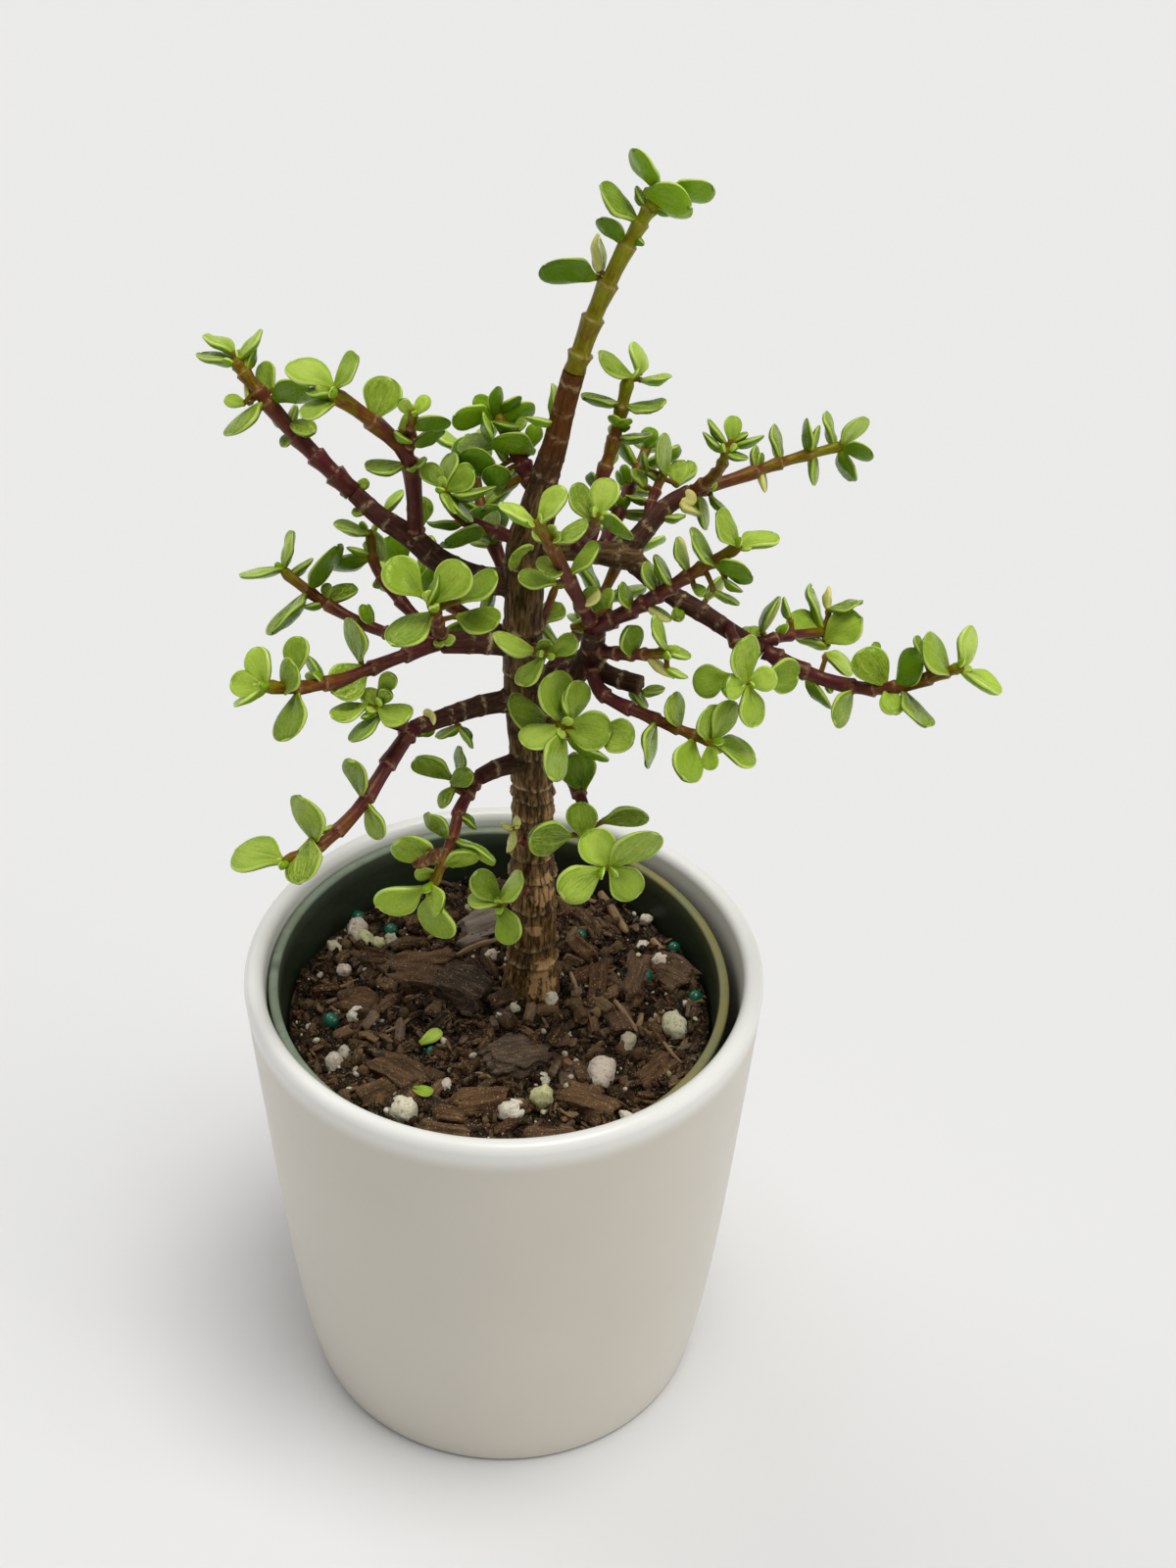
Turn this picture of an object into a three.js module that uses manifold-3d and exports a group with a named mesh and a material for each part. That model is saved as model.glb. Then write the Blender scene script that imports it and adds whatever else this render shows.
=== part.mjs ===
// A dwarf jade bonsai in a plastic nursery pot that stands loose inside a ceramic cover pot.
// Millimetres, +Z up, origin at the centre of the cover pot's flat foot. The front is towards -Y.
import * as THREE from "three";
import { mergeVertices } from "three/addons/utils/BufferGeometryUtils.js";
import Module from "manifold-3d";

const wasm = await Module();
wasm.setup();

// ---------------------------------------------------------------- driving dimensions
const GAP = 0.35; // clearance left between pieces that touch on the real thing

const POT_RIM_RADIUS = 65;
const POT_HEIGHT = 130;
const POT_TAPER = 0.07; // how much the wall narrows for each unit of height, going down
const POT_HEEL_DEPTH = 3.5; // how much further it has narrowed where it meets the underside
const POT_HEEL_REACH = 22; // height over which that extra narrowing fades
const POT_EDGE = 1.2; // small rounding round the underside
const POT_WALL_HEIGHTS = [POT_EDGE, 11, 33, 70]; // where the wall's profile has points
const POT_LIP_RADIUS = 2.5; // half the thickness of the rounded rim
const POT_FLOOR_Z = 6;
const POT_INNER_FOOT_RADIUS = 50.5;
const POT_INNER_CORNER_RADIUS = 6;
const POT_SEGMENTS = 36;

const LINER_RIM_RADIUS = 57.7;
const LINER_RIM_Z = 124;
const LINER_BAND_HEIGHT = 5; // the thickened band under the rim
const LINER_RIM_WIDTH = 2.3;
const LINER_BASE_RADIUS = 44.8;
const LINER_WALL = 1.3;
const LINER_FLOOR = 2;
const LINER_SHIFT_X = -1.2; // it sits off centre, against the back left of the cover pot
const LINER_SHIFT_Y = 0.9;
const LINER_LEAN_X = -0.02; // slope of its rim: the thin plastic stands higher at the back left
const LINER_LEAN_Y = 0.05;
const LINER_SEGMENTS = 28;
const DRAIN_HOLES = 6;
const DRAIN_RADIUS = 4.5;
const DRAIN_CIRCLE_RADIUS = 27;

const SOIL_EDGE_Z = 112;
const SOIL_MOUND = 4; // how much higher the soil stands around the trunk
const SOIL_MOUND_REACH = 24;
const SOIL_RINGS = 6;
const SOIL_SEGMENTS = 26;

const TRUNK_SIDES = 10;
const LIMB_SIDES = 6;
const SHOOT_SIDES = 5;
const LONG_BARE = 12; // a bare stretch of stem longer than this gets a ring half way
const TIP_BUD_LENGTH = 1.2; // how far the stem runs on past its tip pair's place
const TIP_BUD_SHARE = 0.6; // its radius there, as a share of the stem's thin end
const SPAN_STEPS = 12; // samples between two points of a route
const LEAF_THICKNESS = 2;
const LEAF_WIDTH_SHARE = 0.85; // a leaf's width as a share of its length

// ---------------------------------------------------------------- the tree
// The woody part: each limb's route and the radius of the wood at each of its points.
const LIMBS = [
  {
    name: "trunk",
    sides: TRUNK_SIDES,
    route: [
      [7, 7, 92],
      [7, 7, 108],
      [7, 7, 116],
      [7, 7, 123],
      [7.5, 7, 137],
      [7, 7, 159],
      [7, 7, 180],
      [5.5, 7, 198],
      [4.5, 7, 214],
      [4.5, 7, 231],
      [5, 7, 246],
      [7.5, 7, 256],
      [9, 7, 264],
    ],
    radii: [4, 6.6, 7.6, 6.2, 5.7, 5.2, 5, 4.9, 4.7, 4.5, 4.7, 4.2, 3.2],
  },
  {
    name: "leader",
    sides: LIMB_SIDES,
    route: [
      [7.5, 7, 256],
      [9, 7, 264.5],
      [11, 7, 272],
      [13, 7, 281.5],
      [15, 7, 290],
    ],
    radii: [3.4, 3.2, 2.8, 2.5, 2.5],
  },
  {
    name: "left_high",
    sides: LIMB_SIDES,
    route: [
      [3, 7, 237],
      [-5.5, 9, 237],
      [-14, 11, 240],
      [-21, 14, 245],
      [-28, 17, 248.5],
      [-34, 20, 253],
    ],
    radii: [3.4, 3, 2.9, 2.6, 2.3, 2.1],
  },
  {
    name: "left_middle",
    sides: LIMB_SIDES,
    route: [
      [4, 6, 221],
      [-5, 4, 223],
      [-14, 1, 225],
    ],
    radii: [3, 2.7, 2.6],
  },
  {
    name: "left_low",
    sides: LIMB_SIDES,
    route: [
      [4.5, 6, 206],
      [-4, 3, 206.5],
      [-13, -4, 208],
      [-21, -9, 208],
    ],
    radii: [2.8, 2.5, 2.2, 2],
  },
  {
    name: "left_lowest",
    sides: LIMB_SIDES,
    route: [
      [5, 6, 188],
      [-1, 2, 189],
      [-6, -2, 189],
    ],
    radii: [2.6, 2.2, 2],
  },
  {
    name: "right_low",
    sides: LIMB_SIDES,
    route: [
      [6, 6, 197],
      [11, 1, 195],
      [14, -3, 193],
    ],
    radii: [2.6, 2.2, 1.9],
  },
  {
    name: "right_middle",
    sides: LIMB_SIDES,
    route: [
      [6, 6, 211],
      [13, 3, 214],
      [18, 0, 219],
      [20, -4, 228],
      [20, -8, 235],
    ],
    radii: [3.4, 3, 2.8, 2.7, 2.4],
  },
  {
    name: "cut_stub",
    sides: LIMB_SIDES,
    route: [
      [19, -3, 222],
      [24.5, -6, 220.5],
      [31, -9, 220],
    ],
    radii: [2.3, 2.2, 2.3],
  },
  {
    name: "right_high",
    sides: LIMB_SIDES,
    route: [
      [5, 7, 246],
      [15, 7, 246],
      [21.5, 6, 245.5],
      [27, 6, 245],
      [31, 6, 245],
    ],
    radii: [3.2, 2.7, 2.6, 3.4, 2.3],
  },
  {
    name: "right_back",
    sides: LIMB_SIDES,
    route: [
      [27, 6, 245],
      [32, 9, 250.5],
      [37, 13, 254],
      [42, 15, 256],
    ],
    radii: [2.6, 2.3, 2.1, 2],
  },
  {
    name: "right_front",
    sides: LIMB_SIDES,
    route: [
      [27.5, 6, 245],
      [36.5, 2, 238],
      [44, -1, 234.5],
      [51, -4, 231],
      [58, -7, 228],
    ],
    radii: [2.6, 2.3, 2.2, 2, 1.9],
  },
];

// The leafy shoots: a stem's route from the wood to its tip, its radius at both ends, and its leaf pairs:
// how far up the first one sits, how far apart they are, the bearing of the first pair about the stem
// and the length of the largest leaf.
const SHOOTS = [
  {
    name: "shoot_leader",
    route: [
      [15, 7, 290],
      [19, 8, 302.5],
      [24.5, 8, 316],
      [30.5, 8, 327.5],
    ],
    stem: [2.5, 1.5],
    bare: 22,
    gap: 11,
    turn: 60,
    leaf: 10.5,
  },
  {
    name: "shoot_left_high",
    route: [
      [-34, 20, 253],
      [-46.5, 25, 264.5],
      [-56, 29, 275.5],
      [-59.5, 31, 279.5],
    ],
    stem: [2.4, 1.5],
    bare: 8,
    gap: 8,
    turn: 105,
    leaf: 9.5,
  },
  {
    name: "shoot_left_fork",
    route: [
      [-20, 14, 244],
      [-20, 14, 256],
      [-21.5, 11, 268],
      [-30, 7, 279.5],
      [-36, 3, 286.5],
    ],
    stem: [2.1, 1.7],
    bare: 20,
    gap: 10,
    turn: 135,
    leaf: 11.5,
  },
  {
    name: "shoot_left_fork_side",
    route: [
      [-21, 12, 267],
      [-20, 8, 274.5],
      [-19.5, 5, 281],
    ],
    stem: [1.4, 1],
    bare: 5,
    gap: 6,
    turn: 150,
    leaf: 8,
  },
  {
    name: "shoot_crown_back",
    route: [
      [7.5, 8, 259],
      [4.5, 12, 264],
      [1.5, 16, 268],
      [-1.5, 20, 272.5],
    ],
    stem: [2.2, 1.4],
    bare: 8,
    gap: 5,
    turn: 90,
    leaf: 9.5,
  },
  {
    name: "shoot_crown_left",
    route: [
      [4, 7, 248],
      [-5.5, 8, 251.5],
      [-10.5, 7, 255],
      [-13, 5, 262],
    ],
    stem: [1.7, 1.2],
    bare: 6,
    gap: 6,
    turn: 15,
    leaf: 10,
  },
  {
    name: "shoot_left_middle",
    route: [
      [-14, 1, 225],
      [-25, -6, 225],
      [-36, -14, 225],
      [-46, -20, 227],
      [-51.5, -23, 229.5],
    ],
    stem: [1.7, 1.5],
    bare: 21,
    gap: 12,
    turn: 60,
    leaf: 12.5,
  },
  {
    name: "shoot_left_middle_back",
    route: [
      [-14, 1, 225],
      [-27, 3, 226.5],
      [-38.5, 8, 229.5],
      [-47, 12, 234],
      [-50, 15, 235],
    ],
    stem: [1.6, 1.3],
    bare: 16,
    gap: 9,
    turn: 165,
    leaf: 11.5,
  },
  {
    name: "shoot_left_middle_rear",
    route: [
      [-14, 1, 225],
      [-23, 8, 231],
      [-29, 14, 236.5],
      [-30.5, 20, 242],
    ],
    stem: [1.6, 1.2],
    bare: 20,
    gap: 9,
    turn: 15,
    leaf: 10.5,
  },
  {
    name: "shoot_left_rosette",
    route: [
      [-14, 1, 225],
      [-14.5, -7, 235.5],
      [-15.5, -15, 245.5],
    ],
    stem: [1.7, 1.2],
    bare: 4,
    gap: 10,
    turn: 15,
    leaf: 13,
  },
  {
    name: "shoot_left_low",
    route: [
      [-21, -9, 208],
      [-26, -18, 205],
      [-32.5, -27, 199],
      [-40.5, -34, 194.5],
      [-48, -38, 193],
    ],
    stem: [2.1, 1.3],
    bare: 16,
    gap: 12,
    turn: 135,
    leaf: 13,
  },
  {
    name: "shoot_left_low_side",
    route: [
      [-21, -9, 208],
      [-25, -12, 212],
      [-28, -16, 218.5],
    ],
    stem: [1.6, 1.1],
    bare: 5,
    gap: 6,
    turn: 135,
    leaf: 11.5,
  },
  {
    name: "shoot_left_lowest",
    route: [
      [-6, -2, 189],
      [-10, -11, 187],
      [-12, -19, 184],
      [-16, -27, 177.5],
    ],
    stem: [1.7, 1.3],
    bare: 12,
    gap: 6,
    turn: 120,
    leaf: 12,
  },
  {
    name: "shoot_low_rosette",
    route: [
      [7, 7, 148.5],
      [3.5, -1, 153.5],
      [-0.5, -10, 157],
    ],
    stem: [1.7, 1.1],
    bare: 14,
    gap: 6,
    turn: 45,
    leaf: 11,
  },
  {
    name: "shoot_right_low",
    route: [
      [14, -3, 193],
      [17.5, -12, 191.5],
      [20, -21, 187.5],
      [23, -30, 185],
    ],
    stem: [1.8, 1.2],
    bare: 6,
    gap: 11,
    turn: 165,
    leaf: 12,
  },
  {
    name: "shoot_front_rosette",
    route: [
      [6, 6, 203],
      [10, -5, 207],
      [13, -15, 213],
    ],
    stem: [1.8, 1.2],
    bare: 5,
    gap: 7,
    turn: 120,
    leaf: 12.5,
  },
  {
    name: "shoot_front_twig",
    route: [
      [6, 6, 220.5],
      [7.5, -4, 225.5],
      [9, -10, 229],
    ],
    stem: [1.5, 1],
    bare: 4,
    gap: 9,
    turn: 150,
    leaf: 10,
  },
  {
    name: "shoot_right_middle",
    route: [
      [20, -8, 235],
      [29, -10, 241.5],
      [40, -12, 251],
      [49.5, -14, 259],
    ],
    stem: [2.1, 1.3],
    bare: 7,
    gap: 7,
    turn: 165,
    leaf: 10.5,
  },
  {
    name: "shoot_right_upright",
    route: [
      [20, -8, 235],
      [15.5, -13, 247],
      [10.5, -20, 262],
      [7, -26, 272],
    ],
    stem: [1.8, 1.4],
    bare: 11,
    gap: 7,
    turn: 150,
    leaf: 10.5,
  },
  {
    name: "shoot_right_inner",
    route: [
      [19.5, -5, 227],
      [27, -12, 230.5],
      [35, -19, 235.5],
    ],
    stem: [1.7, 1.2],
    bare: 12,
    gap: 6,
    turn: 150,
    leaf: 10.5,
  },
  {
    name: "shoot_right_under",
    route: [
      [19, -2, 223],
      [22, -11, 219.5],
      [32, -18, 218],
      [45.5, -25, 216],
    ],
    stem: [1.9, 1.2],
    bare: 21,
    gap: 9,
    turn: 75,
    leaf: 11.5,
  },
  {
    name: "shoot_centre",
    route: [
      [16, 7, 246],
      [18.5, -3, 256.5],
      [20, -11, 265],
    ],
    stem: [1.7, 1.2],
    bare: 16,
    gap: 9,
    turn: 15,
    leaf: 11,
  },
  {
    name: "shoot_right_back",
    route: [
      [42, 15, 256],
      [53, 19, 257.5],
      [64, 23, 259.5],
      [76, 26, 261.5],
    ],
    stem: [1.7, 1.2],
    bare: 10,
    gap: 8,
    turn: 165,
    leaf: 9.5,
  },
  {
    name: "shoot_right_back_top",
    route: [
      [42, 15, 256],
      [47, 12, 262.5],
      [48.5, 8, 270],
    ],
    stem: [1.5, 1.1],
    bare: 10,
    gap: 5,
    turn: 75,
    leaf: 9,
  },
  {
    name: "shoot_right_crown",
    route: [
      [32, 9, 249],
      [33, 15, 252.5],
      [35.5, 21, 256.5],
    ],
    stem: [1.6, 1.1],
    bare: 4,
    gap: 5,
    turn: 75,
    leaf: 10,
  },
  {
    name: "shoot_crown_right",
    route: [
      [19, 7, 246],
      [20.5, 9, 258.5],
      [24, 13, 269.5],
      [27, 17, 282.5],
    ],
    stem: [1.7, 1.5],
    bare: 20,
    gap: 10,
    turn: 0,
    leaf: 10,
  },
  {
    name: "shoot_right_front",
    route: [
      [58, -7, 228],
      [72, -12, 223.5],
      [85, -18, 225.5],
      [98, -24, 235],
    ],
    stem: [2, 1.3],
    bare: 15,
    gap: 9,
    turn: 75,
    leaf: 12,
  },
  {
    name: "shoot_right_front_rosette",
    route: [
      [50, -4, 232.5],
      [52, -13, 231],
      [53, -21, 229.5],
    ],
    stem: [1.5, 1.1],
    bare: 6,
    gap: 6,
    turn: 0,
    leaf: 11.5,
  },
  {
    name: "shoot_right_front_back",
    route: [
      [57, -6, 229.5],
      [64.5, -2, 229],
      [72, 2, 227],
    ],
    stem: [1.5, 1.1],
    bare: 5,
    gap: 6,
    turn: 30,
    leaf: 11,
  },
  {
    name: "shoot_back_leaf",
    route: [
      [6, 8, 219],
      [9, 15, 222],
      [12, 21, 227],
    ],
    stem: [1.3, 0.9],
    bare: 10,
    gap: 6,
    turn: 90,
    leaf: 9,
  },
  {
    name: "shoot_back_high",
    route: [
      [4, 8, 227],
      [0, 22, 231],
      [-5, 34, 240],
      [-8, 45, 250],
    ],
    stem: [1.9, 1.2],
    bare: 12,
    gap: 11,
    turn: 90,
    leaf: 12,
  },
  {
    name: "shoot_back_right",
    route: [
      [6, 8, 206],
      [15, 21, 210],
      [23, 33, 216],
      [29, 43, 224],
    ],
    stem: [1.9, 1.2],
    bare: 14,
    gap: 11,
    turn: 90,
    leaf: 12,
  },
  {
    name: "shoot_back_left",
    route: [
      [5, 9, 221],
      [-5, 18, 219],
      [-15, 26, 221],
      [-24, 32, 226],
    ],
    stem: [1.9, 1.2],
    bare: 14,
    gap: 11,
    turn: 90,
    leaf: 12,
  },
  {
    name: "shoot_back_crown",
    route: [
      [22, 7, 246],
      [27, 20, 250],
      [33, 34, 257],
    ],
    stem: [1.8, 1.2],
    bare: 12,
    gap: 8,
    turn: 90,
    leaf: 12,
  },
  {
    name: "shoot_trunk_sprout",
    route: [
      [6.5, 5, 163.5],
      [3.5, 0, 169],
      [2.5, -2, 173.5],
    ],
    stem: [1, 0.7],
    bare: 6,
    gap: 5,
    turn: 90,
    leaf: 6,
  },
];

// ---------------------------------------------------------------- small helpers
const UP = new THREE.Vector3(0, 0, 1);
const OUTWARD = new THREE.Vector3(0, -0.6, 0.8); // the side of a stem that bearing 0 faces

// A repeatable draw of numbers from 0 to 1.
function makeDraw(seed) {
  let state = seed;
  return () => {
    state = (state * 1664525 + 1013904223) % 4294967296;
    return state / 4294967296;
  };
}

function vector([x, y, z]) {
  return new THREE.Vector3(x, y, z);
}

// The part of a vector that is square to a unit vector, at unit length.
function squareTo(v, unit) {
  return v.clone().addScaledVector(unit, -v.dot(unit)).normalize();
}

function closedGeometry(points, faces) {
  const geometry = new THREE.BufferGeometry();
  geometry.setAttribute("position", new THREE.Float32BufferAttribute(points.flatMap((p) => p.toArray()), 3));
  geometry.setIndex(faces.flat());
  return geometry;
}

// A closed geometry as a solid, turned the right way out.
function solidOf(source) {
  const geometry = source.clone();
  geometry.deleteAttribute("normal");
  geometry.deleteAttribute("uv");
  const merged = mergeVertices(geometry, 1e-4);
  const corners = merged.index.array;
  const faces = [];
  for (let i = 0; i < corners.length; i += 3) {
    const [a, b, c] = [corners[i], corners[i + 1], corners[i + 2]];
    if (a !== b && b !== c && c !== a) faces.push(a, b, c);
  }
  const build = (triVerts) =>
    new wasm.Manifold(
      new wasm.Mesh({
        numProp: 3,
        vertProperties: new Float32Array(merged.attributes.position.array),
        triVerts: new Uint32Array(triVerts),
      }),
    );
  const made = build(faces);
  return made.volume() < 0 ? build(faces.reverse()) : made;
}

function meshOf(name, solid, material) {
  const { numProp, vertProperties, triVerts } = solid.getMesh();
  const positions = [];
  for (let i = 0; i < vertProperties.length; i += numProp)
    positions.push(vertProperties[i], vertProperties[i + 1], vertProperties[i + 2]);
  const geometry = new THREE.BufferGeometry();
  geometry.setAttribute("position", new THREE.Float32BufferAttribute(positions, 3));
  geometry.setIndex([...triVerts]);
  geometry.computeVertexNormals();
  const mesh = new THREE.Mesh(geometry, material);
  mesh.name = name;
  return mesh;
}

function arc(cx, cz, radius, fromDegrees, toDegrees, steps) {
  const points = [];
  for (let i = 0; i <= steps; i++) {
    const angle = THREE.MathUtils.degToRad(fromDegrees + ((toDegrees - fromDegrees) * i) / steps);
    points.push(new THREE.Vector2(cx + radius * Math.cos(angle), cz + radius * Math.sin(angle)));
  }
  return points;
}

// A solid of revolution about Z from a profile of (radius, height) points.
function turned(profile, segments) {
  const geometry = new THREE.LatheGeometry(profile, segments);
  geometry.rotateX(Math.PI / 2);
  return solidOf(geometry);
}

// ---------------------------------------------------------------- routes and tapering stems
// A smooth route through hand-set points, with a frame that doesn't twist carried along it.
class Route {
  constructor(waypoints) {
    const curve = new THREE.CatmullRomCurve3(waypoints.map(vector), false, "catmullrom", 0.5);
    const steps = SPAN_STEPS * (waypoints.length - 1);
    this.points = [];
    for (let i = 0; i <= steps; i++) this.points.push(curve.getPoint(i / steps));
    this.lengths = [0];
    for (let i = 1; i <= steps; i++)
      this.lengths.push(this.lengths[i - 1] + this.points[i].distanceTo(this.points[i - 1]));
    this.length = this.lengths[steps];
    this.tangents = this.points.map((_, i) =>
      this.points[Math.min(i + 1, steps)]
        .clone()
        .sub(this.points[Math.max(i - 1, 0)])
        .normalize(),
    );
    this.normals = [squareTo(OUTWARD, this.tangents[0])];
    for (let i = 1; i <= steps; i++) this.normals.push(squareTo(this.normals[i - 1], this.tangents[i]));
  }

  // The point, the direction and the two side directions at a distance along the route.
  at(distance) {
    const last = this.points.length - 1;
    let i = 0;
    while (i < last - 1 && this.lengths[i + 1] < distance) i++;
    const share = (distance - this.lengths[i]) / (this.lengths[i + 1] - this.lengths[i]);
    const point = this.points[i].clone().lerp(this.points[i + 1], share);
    const tangent = this.tangents[i].clone().lerp(this.tangents[i + 1], share).normalize();
    const normal = squareTo(this.normals[i], tangent);
    return { point, tangent, normal, side: tangent.clone().cross(normal) };
  }
}

// A closed tapering tube with a ring of corners at each station, a distance and a radius along a route.
function stemSolid(route, stations, sides) {
  const points = [];
  const faces = [];
  stations.forEach(({ distance, radius }) => {
    const { point, normal, side } = route.at(distance);
    for (let k = 0; k < sides; k++) {
      const angle = (2 * Math.PI * k) / sides;
      points.push(
        point
          .clone()
          .addScaledVector(normal, radius * Math.cos(angle))
          .addScaledVector(side, radius * Math.sin(angle)),
      );
    }
  });
  for (let i = 0; i + 1 < stations.length; i++)
    for (let k = 0; k < sides; k++) {
      const [a, b] = [i * sides + k, i * sides + ((k + 1) % sides)];
      faces.push([a, b, b + sides], [a, b + sides, a + sides]);
    }
  const end = (stations.length - 1) * sides;
  for (let k = 1; k + 1 < sides; k++) {
    faces.push([0, k + 1, k]);
    faces.push([end, end + k, end + k + 1]);
  }
  return solidOf(closedGeometry(points, faces));
}

const limbs = LIMBS.map((limb) => ({ ...limb, path: new Route(limb.route) }));
const shoots = SHOOTS.map((shoot, index) => ({ ...shoot, index, path: new Route(shoot.route) }));

function limbStations(limb, extra) {
  const last = limb.radii.length - 1;
  return limb.radii.map((radius, i) => ({
    distance: limb.path.lengths[i * SPAN_STEPS] + (i === last ? extra : 0) - (i === 0 ? extra : 0),
    radius: radius + extra,
  }));
}

// ---------------------------------------------------------------- where the leaves sit
const TIP_CROWDING = 0.35; // how much closer the last pairs stand than the first
const TIP_ROOM = 0.45; // the least room before the tip pair, as a share of the gap between pairs
const OPEN_AT_BASE = 76; // degrees between a leaf and its stem
const OPEN_AT_TIP = 58;
const TIP_PAIR_BACK = 0.6; // how far short of the route's end the tip pair sits
const TIP_LEAF_SHARE = 0.85; // a tip leaf's length as a share of the largest leaf's
const LIFT = 0.3; // how strongly leaves rise towards the light
const FACE_UP = 0.9; // how strongly blades turn their faces to it
const BEARING_TRIES = [0, 16, -16, 32, -32, 48, -48];
const OPEN_TRIES = [0, -18, 14];
// Spots on a blade, as shares of its length and half width, that stand for it when room is tested.
const SPOTS = [
  [0.3, 0],
  [0.58, 0],
  [0.62, 0.62],
  [0.62, -0.62],
  [0.9, 0],
];
const ROOT_DEPTH = 0.3; // how far from the stem's middle a leaf starts, as a share of the stem's radius
const SPOT_REACH = 0.16; // a spot's radius as a share of the leaf's length
const SAME_SHOOT_REACH = 0.1;
const LEAF_CLEARANCE = 0.7;
const SIZE_SPREAD = 0.2; // how much the leaves of a shoot differ in length
const SWAY_DEGREES = 20; // and in bearing

// Pairs along a shoot, each a quarter turn from the last, closer together near the tip.
function leafPairs(shoot) {
  const pairs = [];
  let distance = shoot.bare;
  let bearing = shoot.turn;
  while (distance < shoot.path.length - TIP_ROOM * shoot.gap) {
    pairs.push({ distance, bearing });
    distance += shoot.gap * (1 - (TIP_CROWDING * distance) / shoot.path.length);
    bearing += 90;
  }
  pairs.push({ distance: shoot.path.length - TIP_PAIR_BACK, bearing });
  return pairs;
}

function placeLeaf(shoot, pair, bearing, openTurn, length) {
  const { point, tangent, normal, side } = shoot.path.at(pair.distance);
  const share = pair.distance / shoot.path.length;
  const around = THREE.MathUtils.degToRad(bearing);
  const open = THREE.MathUtils.degToRad(OPEN_AT_BASE + (OPEN_AT_TIP - OPEN_AT_BASE) * share + openTurn);
  const out = normal.clone().multiplyScalar(Math.cos(around)).addScaledVector(side, Math.sin(around));
  const axis = tangent
    .clone()
    .multiplyScalar(Math.cos(open))
    .addScaledVector(out, Math.sin(open))
    .addScaledVector(UP, LIFT)
    .normalize();
  const face = squareTo(tangent.clone().addScaledVector(UP, FACE_UP), axis);
  const across = face.clone().cross(axis);
  const width = length * LEAF_WIDTH_SHARE;
  const spots = SPOTS.map(([along, sideways]) =>
    point
      .clone()
      .addScaledVector(axis, along * length)
      .addScaledVector(across, (sideways * width) / 2),
  );
  const root = point.clone().addScaledVector(out, ROOT_DEPTH * shoot.stem[1]);
  return { shoot: shoot.index, root, axis, face, across, length, width, spots };
}

function distanceToPath(spot, path) {
  return Math.min(...path.points.map((p) => p.distanceTo(spot)));
}

function hasRoom(leaf, placed) {
  const reach = SPOT_REACH * leaf.length + LEAF_CLEARANCE;
  const clearOfWood = limbs.every((limb) =>
    leaf.spots.every((spot) => distanceToPath(spot, limb.path) > Math.max(...limb.radii.slice(1)) + reach),
  );
  if (!clearOfWood) return false;
  const clearOfStems = shoots.every(
    (other) =>
      other.index === leaf.shoot ||
      leaf.spots.every((spot) => distanceToPath(spot, other.path) > other.stem[0] + reach),
  );
  if (!clearOfStems) return false;
  return placed.every((other) => {
    const same = other.shoot === leaf.shoot;
    const apart = same
      ? SAME_SHOOT_REACH * (leaf.length + other.length)
      : SPOT_REACH * (leaf.length + other.length) + LEAF_CLEARANCE;
    return leaf.spots.every((spot) => other.spots.every((otherSpot) => spot.distanceTo(otherSpot) > apart));
  });
}

// Every leaf in turn takes the first bearing and opening that leave it clear of what is already there.
function growLeaves() {
  const placed = [];
  for (const shoot of shoots) {
    const draw = makeDraw(shoot.index + 1);
    for (const pair of leafPairs(shoot))
      for (const half of [0, 180]) {
        const share = pair.distance / shoot.path.length;
        const size = 1 + (TIP_LEAF_SHARE - 1) * share * share;
        const length = shoot.leaf * size * (1 + SIZE_SPREAD * (draw() - 0.5));
        const sway = SWAY_DEGREES * (draw() - 0.5);
        const tries = OPEN_TRIES.flatMap((openTurn) =>
          BEARING_TRIES.map((turn) =>
            placeLeaf(shoot, pair, pair.bearing + half + sway + turn, openTurn, length),
          ),
        );
        const leaf = tries.find((candidate) => hasRoom(candidate, placed));
        if (leaf) placed.push(leaf);
      }
  }
  return placed;
}

// ---------------------------------------------------------------- solids
// A fleshy blade: a thin plate, widest past its middle, narrower above than below.
const LEAF_OUTLINE = [
  [0.45, 0.94],
  [0.84, 0.84],
];
// The blade's outline runs root, right side, tip, left side. One face alone meets the root.
const LEAF_FACES = [
  [0, 1, 5],
  [1, 2, 4],
  [1, 4, 5],
  [2, 3, 4],
];
const LEAF_TOP_SHARE = 0.88;
const LEAF_MIDDLE = 0.5;
const LEAF_ROOT_SHARE = 0.6; // a blade's thickness where it leaves the stem, as a share of the whole

function leafSolid(leaf) {
  const ring = (share, level) => {
    const corner = (along, sideways) =>
      leaf.root
        .clone()
        .addScaledVector(leaf.axis, (LEAF_MIDDLE + (along - LEAF_MIDDLE) * share) * leaf.length)
        .addScaledVector(leaf.across, (sideways * share * leaf.width) / 2)
        .addScaledVector(leaf.face, level);
    return [
      leaf.root.clone().addScaledVector(leaf.face, LEAF_ROOT_SHARE * level),
      ...LEAF_OUTLINE.map(([along, half]) => corner(along, half)),
      corner(1, 0),
      ...LEAF_OUTLINE.toReversed().map(([along, half]) => corner(along, -half)),
    ];
  };
  const points = [...ring(1, -LEAF_THICKNESS / 2), ...ring(LEAF_TOP_SHARE, LEAF_THICKNESS / 2)];
  const count = points.length / 2;
  const faces = [];
  for (let i = 0; i < count; i++) {
    const next = (i + 1) % count;
    faces.push([i, next, next + count], [i, next + count, i + count]);
  }
  for (const [a, b, c] of LEAF_FACES) {
    faces.push([a, c, b]);
    faces.push([count + a, count + b, count + c]);
  }
  return solidOf(closedGeometry(points, faces));
}

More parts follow.
